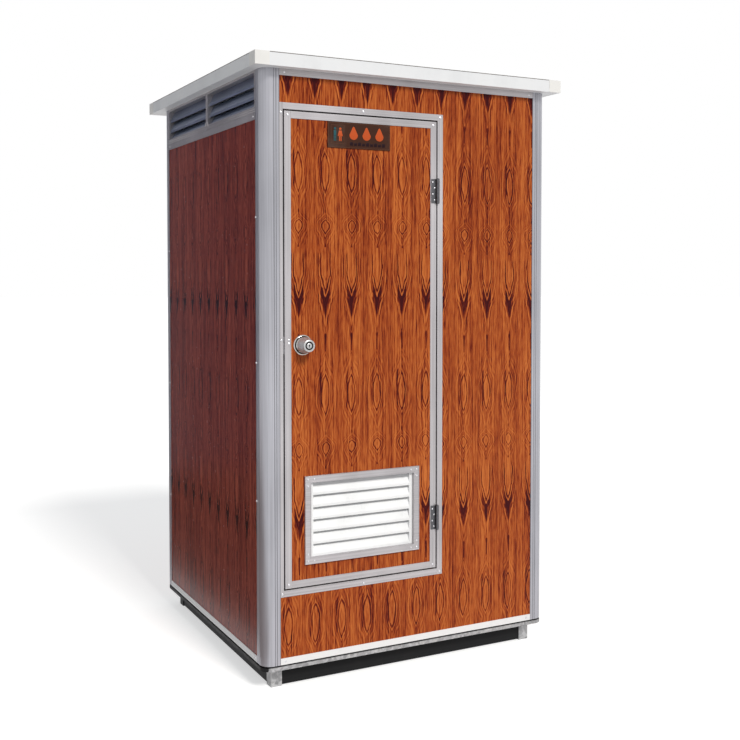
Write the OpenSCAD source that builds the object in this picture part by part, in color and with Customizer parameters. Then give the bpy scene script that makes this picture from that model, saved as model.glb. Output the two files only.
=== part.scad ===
// Prefab washroom cabin: sandwich panel walls held in aluminium corner posts,
// on a steel base with four feet, with a louvred door, a knob lock and side louvres.
// Millimetres. X runs right along the door side, Y runs back, Z is up from the ground.

/* [Cabin body] */
// Width over the corner posts
body_w = 1150; // [1050:10:1400]
// Depth over the corner posts
body_d = 1120; // [900:10:1600]
// Height of the corner posts, from the base to the roof
post_h = 2002; // [1900:1:2300]
// Thickness of the sandwich wall panels
panel_t = 50; // [46:1:60]
// Wall thickness of the aluminium profiles
skin = 2; // [1.5:0.1:2.5]
// Play between a panel and the profile that holds its end
panel_play = 0.3; // [0.1:0.1:1]

/* [Corner posts] */
// How far a post's flanges grip over a wall panel
post_flange = 8; // [5:1:14]
// Radius of the rounded outer corner
post_r = 38; // [20:1:46]
// Depth of the grooves along a post's faces
groove_d = 0.9; // [0.3:0.1:1.2]

/* [Tracks] */
// Height of the U tracks along the top and bottom of the walls
track_h = 22; // [16:1:40]

/* [Base] */
// Height of the feet
foot_h = 70; // [50:1:150]
// Side of the square foot tubes
foot_w = 40; // [30:1:60]
// Distance of the feet from the cabin's faces
foot_inset = 43; // [20:1:80]
// Wall thickness of the feet and the base rails
foot_wall = 3; // [2:0.5:5]
// Width of the base rails
rail_w = 30; // [20:1:40]
// How far the rails lie behind the feet's outer faces
rail_recess = 3; // [1:1:6]
// Gap between the base rails and the ground
rail_gap = 4; // [2:1:20]
// Thickness of the base plate's edge
plate_t = 12; // [8:1:25]
// Height of the shadow groove between the base plate and the tracks
groove_h = 6; // [3:1:12]
// Depth of that shadow groove
groove_in = 9; // [5:1:15]

/* [Floor] */
// Height of the inner floor above the base plate
deck_rise = 230; // [120:1:240]
// Thickness of the folded floor sheet
deck_t = 3; // [2:0.5:5]
// Height of the floor sheet's folded rim
deck_rim = 35; // [20:1:60]

/* [Door opening] */
// Width of latch jamb that shows beside the corner post
latch_face = 12; // [10:1:40]
// Width of the opening between the jambs
opening_w = 599; // [520:1:700]
// Height of the opening
opening_h = 1617; // [1500:1:1700]
// Height of the sill above the base plate
sill_rise = 252; // [250:1:290]
// Width of the frame's face on the head, the sill and the hinge jamb
frame_face = 22; // [18:1:40]
// Width of the stop that the door closes on
stop_w = 10; // [8:1:16]

/* [Door leaf] */
// Gap between the door and its frame
leaf_gap = 5; // [4:0.5:8]
// Thickness of the door
leaf_t = 40; // [34:1:40]
// Width of the door's edge profiles
leaf_face = 24; // [20:1:36]
// Room between the closed door and its stop
stop_gap = 5; // [3:0.5:5]

/* [Door louvre] */
// Width of the louvre's frame
vent_w = 446; // [360:1:480]
// Height of the louvre's frame
vent_h = 302; // [220:1:400]
// Height of the louvre's frame above the bottom of the door
vent_rise = 75; // [50:1:120]
// Width of the louvre frame's face
vent_face = 23; // [16:1:30]
// How far the louvre's frame stands out of the door's panel
vent_proud = 7; // [4:0.5:12]
// Width of the cassette's side strips
cassette_w = 12; // [8:1:20]
// Number of blades in the door's louvre
vent_blades = 6; // [4:1:9]

/* [Side louvres] */
// Height of the louvre band under the roof
band_h = 143; // [110:1:200]
// Height of the band's sill
band_sill = 21; // [15:1:40]
// Height of the band's head and width of its jambs
band_edge = 9; // [6:1:20]
// Depth of the band's frame
band_depth = 40; // [30:1:45]
// Width of the mullion in the middle
mullion_w = 22; // [12:1:40]
// Number of blades in each bay
band_blades = 3; // [2:1:6]
// How much of the lowest blade its sill hides
band_hide = 15; // [0:1:25]

/* [Louvre blades] */
// Thickness of a blade
blade_t = 1.6; // [1:0.1:3]
// Height of the upright lip along a blade's lower edge
lip_h = 9; // [5:0.5:14]
// How far a blade runs back from its lip
blade_run = 20; // [12:1:22]
// How far a blade reaches up behind the one above it
blade_lap = 3; // [0:0.5:6]
// How far the blades sit behind their frame's face
blade_set = 6; // [3:1:10]

/* [Roof] */
// Thickness of the roof
roof_t = 45; // [35:1:80]
// Overhang at the front and at both sides
eave = 37; // [30:1:120]
// Overhang at the back
eave_back = 90; // [40:1:160]
// Width of the fascia channels' legs
fascia_leg = 25; // [15:1:28]
// Length of the corner caps' legs
cap_leg = 50; // [30:1:100]
// Thickness of the corner caps
cap_t = 1.2; // [0.8:0.1:2]

/* [Lock] */
// Distance of the knob's axis from the door's edge
backset = 67; // [60:1:90]
// Height of the knob's axis above the bottom of the door
knob_rise = 824; // [700:1:1000]
// Diameter of the roses
rose_d = 70; // [60:1:76]
// Thickness of a rose at its middle
rose_t = 9; // [6:0.5:12]
// Diameter of a rose's raised middle
rose_face_d = 46; // [36:1:56]
// Largest diameter of a knob
knob_d = 56; // [46:1:60]
// Diameter of a knob's nose
nose_d = 38; // [30:1:42]
// Length of a knob
knob_len = 42; // [34:1:46]
// Diameter of the spindle between the knobs
spindle_d = 12; // [8:0.5:14]
// Diameter of the hole through the door for the lock
lock_hole_d = 54; // [40:1:56]

/* [Sign] */
// Width of the sign plate
sign_w = 240; // [160:1:300]
// Height of the sign plate
sign_h = 88; // [60:1:110]
// Thickness of the sign plate
sign_t = 3; // [2:0.5:6]
// How far the sign sits left of the door's middle
sign_left = 15; // [0:1:30]

/* [Hinges] */
// Height of a hinge
hinge_h = 86; // [70:1:120]
// Distance of the upper hinge's middle from the top of the door
hinge_drop = 247; // [120:1:300]
// Distance of the lower hinge's middle from the bottom of the door
hinge_rise = 183; // [120:1:300]
// Radius of the hinge pins
pin_r = 3; // [2.5:0.1:3.5]
// Radial clearance of a pin in its knuckles
pin_play = 0.08; // [0.05:0.01:0.1]
// Outer radius of the knuckles
knuckle_r = 6; // [5.5:0.1:6.5]
// Thickness of the hinge plates
hinge_t = 2; // [1.5:0.1:2.2]

/* [Hidden] */
$fn = 72;
// How far a cut runs past a face, and a boss into its neighbour
cut = 1;

// Colours
WOOD = [0.66, 0.30, 0.14];
ALUMINIUM = [0.72, 0.73, 0.76];
WHITE_TRIM = [0.92, 0.92, 0.93];
WHITE_BLADE = [0.95, 0.95, 0.95];
GALVANISED = [0.62, 0.62, 0.63];
BLACK_STEEL = [0.06, 0.06, 0.06];
FLOOR_STEEL = [0.45, 0.46, 0.48];
SIGN_BROWN = [0.27, 0.20, 0.12];
CHROME = [0.80, 0.80, 0.82];
STAINLESS = [0.55, 0.55, 0.57];

// Cross-section of the walls and posts
core = panel_t + 2 * skin;
post_face = core + post_flange;
pocket = core + panel_play;
groove_edge = 4;

// Levels
plate_z = foot_h;
floor_z = plate_z + plate_t + groove_h;
eave_z = floor_z + post_h;
roof_z = eave_z + roof_t;
band_z = eave_z - band_h;
deck_z = floor_z + deck_rise;

// Door opening and leaf
open_x0 = post_face + latch_face;
open_x1 = open_x0 + opening_w;
open_z0 = floor_z + sill_rise;
open_z1 = open_z0 + opening_h;
leaf_x0 = open_x0 + leaf_gap;
leaf_x1 = open_x1 - leaf_gap;
leaf_z0 = open_z0 + leaf_gap;
leaf_z1 = open_z1 - leaf_gap;
leaf_mid_x = (leaf_x0 + leaf_x1) / 2;
stop_y = leaf_t + stop_gap;

// Door louvre
vent_x0 = leaf_mid_x - vent_w / 2;
vent_z0 = leaf_z0 + vent_rise;
sign_drop = 1;
sleeve_in = 8;
strip_back = 4;
vent_hole_in = vent_face - sleeve_in;
vent_inner_h = vent_h - 2 * vent_face;
vent_pitch = (vent_inner_h - blade_lap) / vent_blades;

// Side louvres
band_inner_h = band_h - band_sill - band_edge;
band_pitch = (band_inner_h + band_hide - blade_lap) / band_blades;
bay_w = (body_d - 2 * post_face - 2 * band_edge - mullion_w) / 2;
mullion_proud = 1.5;

// Lock
knob_x = leaf_x0 + backset;
knob_z = leaf_z0 + knob_rise;
rose_gap = 5;
spindle_play = 0.3;
neck_d = 26;
latch_plate_h = 57;
latch_plate_w = 25;
latch_plate_t = 1.5;
bolt_w = 12;
bolt_h = 15;
bolt_proud = 1;

// Hinges
hinge_x = (leaf_x1 + open_x1) / 2;
hinge_y = -(knuckle_r + 1);
hinge_zs = [leaf_z1 - hinge_drop, leaf_z0 + hinge_rise];
knuckles = 5;
knuckle_gap = 0.5;
knuckle_h = (hinge_h - (knuckles - 1) * knuckle_gap) / knuckles;
door_plate_w = 19;
frame_plate_y = 28;
plate_clear = 0.4;
plate_under = 1.5;
web_clear = 1;
pin_head_r = 4.6;
pin_head_h = 2.5;

// Where the cabin stands: the middle of everything, its knob included, is at the origin
knob_reach = rose_t + rose_gap + knob_len - skin;
front_reach = max(knob_reach, eave + cap_t);
front_y = -(body_d + eave_back + cap_t - front_reach) / 2;

// ---- helpers ----

// Moves a shape drawn from the cabin's front left corner to its place about the origin
module in_cabin() {
    translate([-body_w / 2, front_y, 0]) children();
}

// A box from one corner to the other
module span(low, high) {
    translate(low) cube(high - low);
}

// Mirrors a shape across the cabin's middle, left to right
module to_right() {
    translate([body_w, 0, 0]) mirror([1, 0, 0]) children();
}

// Mirrors a shape across the cabin's middle, front to back
module to_back() {
    translate([0, body_d, 0]) mirror([0, 1, 0]) children();
}

// A shape drawn in the XZ plane, extruded along Y from y0 to y1
module along_y(y0, y1) {
    translate([0, y1, 0]) rotate([90, 0, 0]) linear_extrude(y1 - y0) children();
}

// A U channel's section, open towards +Y: inner width w between legs of length leg
module channel_section(w, leg) {
    difference() {
        square([w + 2 * skin, leg]);
        translate([skin, skin]) square([w, leg]);
    }
}

// ---- base ----

// A square tube stub with a closed bottom
module foot() {
    difference() {
        cube([foot_w, foot_w, foot_h]);
        translate([foot_wall, foot_wall, foot_wall])
            cube([foot_w - 2 * foot_wall, foot_w - 2 * foot_wall, foot_h]);
    }
}

module base_feet() {
    color(GALVANISED) in_cabin()
        for (x = [foot_inset, body_w - foot_inset - foot_w], y = [foot_inset, body_d - foot_inset - foot_w])
            translate([x, y, 0]) foot();
}

// A rectangular tube along X, from the origin
module rail(len) {
    rail_h = foot_h - rail_gap;
    difference() {
        cube([len, rail_w, rail_h]);
        translate([-cut, foot_wall, foot_wall])
            cube([len + 2 * cut, rail_w - 2 * foot_wall, rail_h - 2 * foot_wall]);
    }
}

module base_rails() {
    start = foot_inset + foot_w;
    lie = foot_inset + rail_recess;
    color(BLACK_STEEL) in_cabin() translate([0, 0, rail_gap]) {
        translate([start, lie, 0]) rail(body_w - 2 * start);
        translate([start, body_d - lie - rail_w, 0]) rail(body_w - 2 * start);
        translate([lie + rail_w, start, 0]) rotate([0, 0, 90]) rail(body_d - 2 * start);
        translate([body_w - lie, start, 0]) rotate([0, 0, 90]) rail(body_d - 2 * start);
    }
}

// A rectangle with round corners, between two opposite corners
module round_rect(low, high, r) {
    difference() {
        translate(low) square(high - low);
        for (x = [0, 1], y = [0, 1])
            translate([x ? high.x : low.x, y ? high.y : low.y]) mirror([x, 0]) mirror([0, y])
                difference() {
                    translate([-cut, -cut]) square(r + cut);
                    translate([r, r]) circle(r);
                }
    }
}

// The base plate, with a raised bed that leaves a shadow groove under the tracks
module base_plate() {
    color(GALVANISED) in_cabin() {
        translate([0, 0, plate_z]) linear_extrude(plate_t)
            round_rect([0, 0], [body_w, body_d], post_r);
        translate([0, 0, plate_z + plate_t]) linear_extrude(groove_h)
            round_rect([groove_in, groove_in], [body_w - groove_in, body_d - groove_in], post_r - groove_in);
    }
}

// The floor's outline: wall to wall, notched round the posts
module deck_outline(inset) {
    wall_in = skin + panel_t + panel_play + inset;
    post_in = post_face + panel_play + inset;
    difference() {
        translate([wall_in, wall_in]) square([body_w - 2 * wall_in, body_d - 2 * wall_in]);
        for (x = [0, 1], y = [0, 1])
            translate([x * body_w, y * body_d]) mirror([x, 0]) mirror([0, y]) square(post_in);
    }
}

// The raised inner floor: a steel sheet with its rim folded down
module floor_deck() {
    color(FLOOR_STEEL) in_cabin() difference() {
        translate([0, 0, deck_z - deck_rim]) linear_extrude(deck_rim) deck_outline(0);
        translate([0, 0, deck_z - deck_rim - cut])
            linear_extrude(deck_rim + cut - deck_t) deck_outline(deck_t);
    }
}

// ---- posts and tracks ----

// Section of a corner post, from its corner: a round hollow core with flanges for two panels
module post_section() {
    groove_at = [post_r + groove_edge, core - groove_edge];
    difference() {
        union() {
            difference() {
                square(core);
                difference() {
                    translate([-cut, -cut]) square(post_r + cut);
                    translate([post_r, post_r]) circle(post_r);
                }
            }
            for (y = [0, core - skin]) translate([core, y]) square([post_flange, skin]);
            for (x = [0, core - skin]) translate([x, core]) square([skin, post_flange]);
        }
        difference() {
            translate([skin, skin]) square(panel_t);
            difference() {
                translate([skin, skin]) square(post_r - skin);
                translate([post_r, post_r]) circle(post_r - skin);
            }
        }
        for (g = groove_at) {
            translate([g, 0]) circle(groove_d);
            translate([0, g]) circle(groove_d);
        }
    }
}

module post() {
    color(ALUMINIUM) translate([0, 0, floor_z]) linear_extrude(post_h) post_section();
}

module post_front_left() { in_cabin() post(); }
module post_front_right() { in_cabin() to_right() post(); }
module post_back_left() { in_cabin() to_back() post(); }
module post_back_right() { in_cabin() to_right() to_back() post(); }

// A U track between two posts on the front wall, open upwards, its web at z
module front_track(z, up) {
    translate([post_face, core, z]) mirror([0, 0, up ? 0 : 1]) rotate([90, 0, 90])
        linear_extrude(body_w - 2 * post_face) mirror([1, 0]) channel_section(panel_t, track_h);
}

// The same on the left wall
module side_track(z, up) {
    translate([0, body_d - post_face, z]) mirror([0, 0, up ? 0 : 1]) rotate([90, 0, 0])
        linear_extrude(body_d - 2 * post_face) channel_section(panel_t, track_h);
}

module bottom_tracks() {
    color(WHITE_TRIM) in_cabin() {
        front_track(floor_z, true);
        to_back() front_track(floor_z, true);
        side_track(floor_z, true);
        to_right() side_track(floor_z, true);
    }
}

module top_tracks() {
    color(ALUMINIUM) in_cabin() {
        front_track(eave_z, false);
        to_back() front_track(eave_z, false);
        side_track(band_z, false);
        to_right() side_track(band_z, false);
    }
}

// ---- wall panels ----

// A panel in the front wall's thickness
module front_panel(x0, z0, x1, z1) {
    color(WOOD) span([x0, skin, z0], [x1, skin + panel_t, z1]);
}

module front_wall_right() {
    in_cabin() front_panel(open_x1 + skin, floor_z + skin, body_w - pocket, eave_z - skin);
}

module front_wall_over_door() {
    in_cabin() front_panel(pocket, open_z1 + skin, open_x1 + skin, eave_z - skin);
}

module front_wall_under_door() {
    in_cabin() front_panel(pocket, floor_z + skin, open_x1 + skin, open_z0 - skin);
}

module side_wall() {
    color(WOOD) span([skin, pocket, floor_z + skin], [skin + panel_t, body_d - pocket, band_z - skin]);
}

module left_wall() { in_cabin() side_wall(); }
module right_wall() { in_cabin() to_right() side_wall(); }

module back_wall() {
    in_cabin() to_back() front_panel(pocket, floor_z + skin, body_w - pocket, eave_z - skin);
}

// ---- side louvres ----

// Section of a blade: depth from the cabin's face by height, its lip's foot at the origin
module blade_section(pitch) {
    top = pitch + blade_lap;
    polygon([[0, 0], [0, lip_h], [blade_run - blade_t, top], [blade_run, top],
             [blade_t, lip_h - blade_t], [blade_t, 0]]);
}

// The frame of the left louvre band, with a mullion in the middle
module band_frame() {
    y0 = post_face;
    y1 = body_d - post_face;
    mid = body_d / 2;
    color(ALUMINIUM) difference() {
        union() {
            span([0, y0, band_z], [band_depth, y1, eave_z]);
            span([skin, pocket, band_z], [band_depth, body_d - pocket, eave_z]);
            span([-mullion_proud, mid - mullion_w / 2, band_z], [0, mid + mullion_w / 2, eave_z - band_edge]);
        }
        for (start = [y0 + band_edge, mid + mullion_w / 2])
            span([-cut, start, band_z + band_sill], [band_depth + cut, start + bay_w, eave_z - band_edge]);
        translate([0, pocket - cut, band_z]) rotate([-90, 0, 0]) cylinder(r = groove_d, h = body_d);
    }
}

// The blades of both bays of the left louvre band
module band_blades_both() {
    color(ALUMINIUM)
        for (start = [post_face + band_edge, (body_d + mullion_w) / 2], i = [0 : band_blades - 1])
            translate([blade_set, 0, band_z + band_sill - band_hide + i * band_pitch])
                along_y(start, start + bay_w) difference() {
                    blade_section(band_pitch);
                    if (i == 0) translate([-cut, -cut]) square([blade_run + 2 * cut, band_hide + cut]);
                }
}

module louvre_frame_left() { in_cabin() band_frame(); }
module louvre_frame_right() { in_cabin() to_right() band_frame(); }
module louvre_blades_left() { in_cabin() band_blades_both(); }
module louvre_blades_right() { in_cabin() to_right() band_blades_both(); }

// ---- door frame ----

// A channel that wraps the edge of the wall over the door, with the stop on its inner side
module door_frame_head() {
    color(ALUMINIUM) in_cabin() {
        translate([open_x0, core, open_z1]) rotate([90, 0, 90]) linear_extrude(opening_w)
            mirror([1, 0]) channel_section(panel_t, frame_face);
        span([open_x0 + stop_w, stop_y, open_z1 - stop_w], [open_x1 - stop_w, core, open_z1]);
    }
}

module door_frame_sill() {
    color(ALUMINIUM) in_cabin() {
        translate([open_x0, core, open_z0]) mirror([0, 0, 1]) rotate([90, 0, 90]) linear_extrude(opening_w)
            mirror([1, 0]) channel_section(panel_t, frame_face);
        span([open_x0 + stop_w, stop_y, open_z0], [open_x1 - stop_w, core, open_z0 + stop_w]);
    }
}

// The two faces of a jamb, outside and inside, from x0 to x1
module jamb_faces(x0, x1) {
    for (y = [0, core - skin])
        span([x0, y, open_z0 - frame_face], [x1, y + skin, open_z1 + frame_face]);
}

module door_frame_hinge_jamb() {
    color(ALUMINIUM) in_cabin() {
        jamb_faces(open_x1, open_x1 + frame_face);
        span([open_x1, 0, open_z0 - skin], [open_x1 + skin, core, open_z1 + skin]);
        span([open_x1 - stop_w, stop_y, open_z0], [open_x1, core, open_z1]);
    }
}

// A box section between the corner post and the opening
module door_frame_latch_jamb() {
    color(ALUMINIUM) in_cabin() {
        jamb_faces(post_face, open_x0);
        difference() {
            span([pocket, skin, open_z0 - skin], [open_x0, core - skin, open_z1 + skin]);
            span([pocket + skin, 2 * skin, open_z0 - skin - cut],
                 [open_x0 - skin, core - 2 * skin, open_z1 + skin + cut]);
        }
        span([open_x0, stop_y, open_z0], [open_x0 + stop_w, core, open_z1]);
    }
}

// ---- roof ----

roof_low = [-eave, -eave];
roof_high = [body_w + eave, body_d + eave_back];

// A flat frame inside the roof's outline: its outer edge inset by a, its inner edge by b
module roof_frame(a, b) {
    difference() {
        translate(roof_low + [a, a]) square(roof_high - roof_low - 2 * [a, a]);
        translate(roof_low + [b, b]) square(roof_high - roof_low - 2 * [b, b]);
    }
}

// The sandwich panel of the roof, rebated for the fascia's lower legs
module roof_panel() {
    leg_in = skin + fascia_leg;
    color(WHITE_TRIM) in_cabin() {
        translate([0, 0, eave_z + skin]) linear_extrude(roof_t - 2 * skin)
            translate(roof_low + [skin, skin]) square(roof_high - roof_low - 2 * [skin, skin]);
        translate([0, 0, eave_z]) linear_extrude(skin)
            translate(roof_low + [leg_in, leg_in]) square(roof_high - roof_low - 2 * [leg_in, leg_in]);
    }
}

// The whole rim of fascia channels, before it is mitred into four
module fascia_rim() {
    translate([0, 0, eave_z]) linear_extrude(roof_t) roof_frame(0, skin);
    for (z = [eave_z, roof_z - skin])
        translate([0, 0, z]) linear_extrude(skin) roof_frame(0, skin + fascia_leg);
}

// One side of the rim, mitred between the corners a and b; in_a and in_b point inwards
module fascia(a, b, in_a, in_b) {
    reach = fascia_leg + 2 * skin;
    color(WHITE_TRIM) in_cabin() intersection() {
        fascia_rim();
        translate([0, 0, eave_z - cut]) linear_extrude(roof_t + 2 * cut)
            polygon([a, b, b + reach * in_b, a + reach * in_a]);
    }
}

corner_fl = roof_low;
corner_fr = [roof_high.x, roof_low.y];
corner_bl = [roof_low.x, roof_high.y];
corner_br = roof_high;

module roof_fascia_front() { fascia(corner_fl, corner_fr, [1, 1], [-1, 1]); }
module roof_fascia_back() { fascia(corner_bl, corner_br, [1, -1], [-1, -1]); }
module roof_fascia_left() { fascia(corner_fl, corner_bl, [1, 1], [1, -1]); }
module roof_fascia_right() { fascia(corner_fr, corner_br, [-1, 1], [-1, -1]); }

// Angle caps round the roof's four corners
module roof_corner_caps() {
    color(WHITE_TRIM) in_cabin() translate([0, 0, eave_z]) linear_extrude(roof_t)
        for (x = [0, 1], y = [0, 1])
            translate([x ? roof_high.x : roof_low.x, y ? roof_high.y : roof_low.y])
                mirror([x, 0]) mirror([0, y]) difference() {
                    translate([-cap_t, -cap_t]) square(cap_leg + cap_t);
                    square(cap_leg + cut);
                }
}

// ---- hinges ----

// One knuckle: the i-th from the bottom of a hinge
module knuckle(i) {
    translate([hinge_x, hinge_y, i * (knuckle_h + knuckle_gap)]) cylinder(r = knuckle_r, h = knuckle_h);
}

// The bore through all of a hinge's knuckles
module pin_bore() {
    translate([hinge_x, hinge_y, -cut]) cylinder(r = pin_r + pin_play, h = hinge_h + 2 * cut);
}

// Puts a shape drawn up from z = 0 at each hinge
module at_hinges() {
    for (z = hinge_zs) translate([0, 0, z - hinge_h / 2]) children();
}

// The fixed leaves: a plate on the jamb's edge and every other knuckle
module hinge_frame_leaves() {
    plate_x = open_x1 - hinge_t;
    color(STAINLESS) in_cabin() at_hinges() difference() {
        union() {
            span([plate_x, -plate_clear, 0], [open_x1, frame_plate_y, hinge_h]);
            for (i = [0, 2, 4]) {
                knuckle(i);
                translate([0, 0, i * (knuckle_h + knuckle_gap)])
                    span([plate_x, hinge_y + pin_r + web_clear, 0], [open_x1, 0, knuckle_h]);
            }
        }
        pin_bore();
    }
}

// The moving leaves: a plate on the door's face and the knuckles between
module hinge_door_leaves() {
    clear_x = hinge_x - knuckle_r + plate_under;
    color(STAINLESS) in_cabin() at_hinges() difference() {
        union() {
            span([clear_x - door_plate_w, -hinge_t, 0], [clear_x, 0, hinge_h]);
            for (i = [1, 3]) {
                knuckle(i);
                translate([0, 0, i * (knuckle_h + knuckle_gap)])
                    span([clear_x - cut, hinge_y + pin_r + web_clear, 0], [hinge_x, -plate_clear, knuckle_h]);
            }
        }
        pin_bore();
    }
}

module hinge_pins() {
    color(STAINLESS) in_cabin() at_hinges() translate([hinge_x, hinge_y, 0]) {
        cylinder(r = pin_r, h = hinge_h);
        translate([0, 0, hinge_h]) cylinder(r = pin_head_r, h = pin_head_h);
        translate([0, 0, -pin_head_h]) cylinder(r = pin_head_r, h = pin_head_h);
    }
}

// ---- door leaf ----

module door_panel() {
    hole = vent_hole_in;
    color(WOOD) in_cabin() difference() {
        span([leaf_x0 + skin, skin, leaf_z0 + skin], [leaf_x1 - skin, leaf_t - skin, leaf_z1 - skin]);
        span([vent_x0 + hole, 0, vent_z0 + hole], [vent_x0 + vent_w - hole, leaf_t, vent_z0 + vent_h - hole]);
        translate([knob_x, 0, knob_z]) rotate([-90, 0, 0]) cylinder(d = lock_hole_d, h = leaf_t);
    }
}

// An edge channel of the door's full height, its web on the left
module stile() {
    linear_extrude(leaf_z1 - leaf_z0) difference() {
        square([leaf_face, leaf_t]);
        translate([skin, skin]) square([leaf_face, leaf_t - 2 * skin]);
    }
}

module door_stile_latch() {
    color(ALUMINIUM) in_cabin() translate([leaf_x0, 0, leaf_z0]) stile();
}

module door_stile_hinge() {
    color(ALUMINIUM) in_cabin() translate([leaf_x1, 0, leaf_z0]) mirror([1, 0, 0]) stile();
}

// An edge channel between the stiles, its web at the bottom
module door_rail() {
    translate([leaf_x0 + leaf_face, leaf_t, 0]) rotate([90, 0, 90])
        linear_extrude(leaf_x1 - leaf_x0 - 2 * leaf_face) mirror([1, 0])
            channel_section(leaf_t - 2 * skin, leaf_face);
}

module door_rail_bottom() {
    color(ALUMINIUM) in_cabin() translate([0, 0, leaf_z0]) door_rail();
}

module door_rail_top() {
    color(ALUMINIUM) in_cabin() translate([0, 0, leaf_z1]) mirror([0, 0, 1]) door_rail();
}

// ---- door louvre ----

// A rectangular ring about the door louvre: outer inset a, inner inset b, from y0 to y1
module vent_ring(a, b, y0, y1) {
    difference() {
        span([vent_x0 + a, y0, vent_z0 + a], [vent_x0 + vent_w - a, y1, vent_z0 + vent_h - a]);
        span([vent_x0 + b, y0 - cut, vent_z0 + b],
             [vent_x0 + vent_w - b, y1 + cut, vent_z0 + vent_h - b]);
    }
}

// A face flange on the panel, and a sleeve through it
module door_louvre_frame() {
    color(ALUMINIUM) in_cabin() {
        vent_ring(0, vent_face, skin - vent_proud, skin);
        vent_ring(vent_hole_in, vent_face, skin, leaf_t - skin);
    }
}

// Side strips with the blades between them
module door_louvre_cassette() {
    x0 = vent_x0 + vent_face;
    x1 = vent_x0 + vent_w - vent_face;
    z0 = vent_z0 + vent_face;
    z1 = vent_z0 + vent_h - vent_face;
    color(WHITE_BLADE) in_cabin() {
        for (x = [x0, x1 - cassette_w])
            span([x, blade_set, z0], [x + cassette_w, blade_set + blade_run + strip_back, z1]);
        for (i = [0 : vent_blades - 1])
            translate([x0 + cassette_w, blade_set, z0 + i * vent_pitch]) rotate([90, 0, 90])
                linear_extrude(x1 - x0 - 2 * cassette_w) blade_section(vent_pitch);
    }
}

// ---- door fittings ----

module door_sign() {
    x0 = leaf_mid_x - sign_left - sign_w / 2;
    z1 = leaf_z1 - leaf_face - sign_drop;
    color(SIGN_BROWN) in_cabin() span([x0, skin - sign_t, z1 - sign_h], [x0 + sign_w, skin, z1]);
}

// Turns a shape drawn up from z = 0 to point out of the door at the knob, on both faces
module at_knob(inside) {
    y = inside ? leaf_t - skin : skin;
    translate([knob_x, y, knob_z]) rotate([inside ? -90 : 90, 0, 0]) children();
}

// A dished disc with a hole for the spindle
module rose() {
    rim_t = rose_t / 2;
    difference() {
        union() {
            cylinder(d = rose_d, h = rim_t);
            translate([0, 0, rim_t]) cylinder(d1 = rose_d, d2 = rose_face_d, h = rose_t - rim_t);
        }
        translate([0, 0, -cut]) cylinder(d = spindle_d + 2 * spindle_play, h = rose_t + 2 * cut);
    }
}

module lock_roses() {
    color(CHROME) in_cabin() {
        at_knob(false) rose();
        at_knob(true) rose();
    }
}

// A knob on its neck, from the rose outwards
module knob() {
    translate([0, 0, rose_t + spindle_play]) cylinder(d = neck_d, h = rose_gap + cut);
    translate([0, 0, rose_t + rose_gap]) cylinder(d1 = knob_d, d2 = nose_d, h = knob_len);
}

// Both knobs on one spindle
module knob_set() {
    color(CHROME) in_cabin() {
        at_knob(false) knob();
        at_knob(true) knob();
        translate([knob_x, 0, knob_z]) rotate([-90, 0, 0]) translate([0, 0, -rose_t])
            cylinder(d = spindle_d, h = leaf_t + 2 * rose_t);
    }
}

// The latch's face plate on the door's edge, with its bolt drawn back
module latch_plate() {
    mid = leaf_t / 2;
    color(STAINLESS) in_cabin() {
        span([leaf_x0 - latch_plate_t, mid - latch_plate_w / 2, knob_z - latch_plate_h / 2],
             [leaf_x0, mid + latch_plate_w / 2, knob_z + latch_plate_h / 2]);
        span([leaf_x0 - latch_plate_t - bolt_proud, mid - bolt_w / 2, knob_z - bolt_h / 2],
             [leaf_x0 - latch_plate_t, mid + bolt_w / 2, knob_z + bolt_h / 2]);
    }
}

// ---- nodes ----

base_feet();
base_rails();
base_plate();
floor_deck();
post_front_left();
post_front_right();
post_back_left();
post_back_right();
bottom_tracks();
top_tracks();
front_wall_right();
front_wall_over_door();
front_wall_under_door();
left_wall();
right_wall();
back_wall();
louvre_frame_left();
louvre_frame_right();
louvre_blades_left();
louvre_blades_right();
door_frame_head();
door_frame_sill();
door_frame_hinge_jamb();
door_frame_latch_jamb();
roof_panel();
roof_fascia_front();
roof_fascia_back();
roof_fascia_left();
roof_fascia_right();
roof_corner_caps();
hinge_frame_leaves();
hinge_pins();
hinge_door_leaves();
door_panel();
door_stile_latch();
door_stile_hinge();
door_rail_top();
door_rail_bottom();
door_louvre_frame();
door_louvre_cassette();
door_sign();
lock_roses();
latch_plate();
knob_set();
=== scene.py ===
"""Dresses a prefab washroom cabin: film-faced walls, aluminium profiles, a louvred door and its lock."""

import logging
import math
from dataclasses import dataclass, field
from enum import Enum
from typing import Iterable, Sequence

import bpy
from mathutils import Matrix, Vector


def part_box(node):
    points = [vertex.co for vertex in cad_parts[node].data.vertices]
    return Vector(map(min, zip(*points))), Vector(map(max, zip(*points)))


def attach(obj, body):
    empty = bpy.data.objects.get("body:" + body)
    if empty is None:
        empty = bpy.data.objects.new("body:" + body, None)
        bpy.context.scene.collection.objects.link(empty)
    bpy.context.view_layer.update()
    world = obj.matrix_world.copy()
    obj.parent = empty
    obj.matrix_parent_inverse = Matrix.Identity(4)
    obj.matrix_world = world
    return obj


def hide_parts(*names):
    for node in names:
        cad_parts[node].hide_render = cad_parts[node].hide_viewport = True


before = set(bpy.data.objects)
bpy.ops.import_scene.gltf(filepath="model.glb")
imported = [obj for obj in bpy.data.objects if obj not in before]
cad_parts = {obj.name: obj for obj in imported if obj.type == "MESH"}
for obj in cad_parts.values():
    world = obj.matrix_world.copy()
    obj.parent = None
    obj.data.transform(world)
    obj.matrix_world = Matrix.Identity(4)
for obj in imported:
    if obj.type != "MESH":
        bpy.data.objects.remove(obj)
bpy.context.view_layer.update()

logging.basicConfig(level=logging.INFO, format="%(message)s")
LOG = logging.getLogger("cabin")

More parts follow.
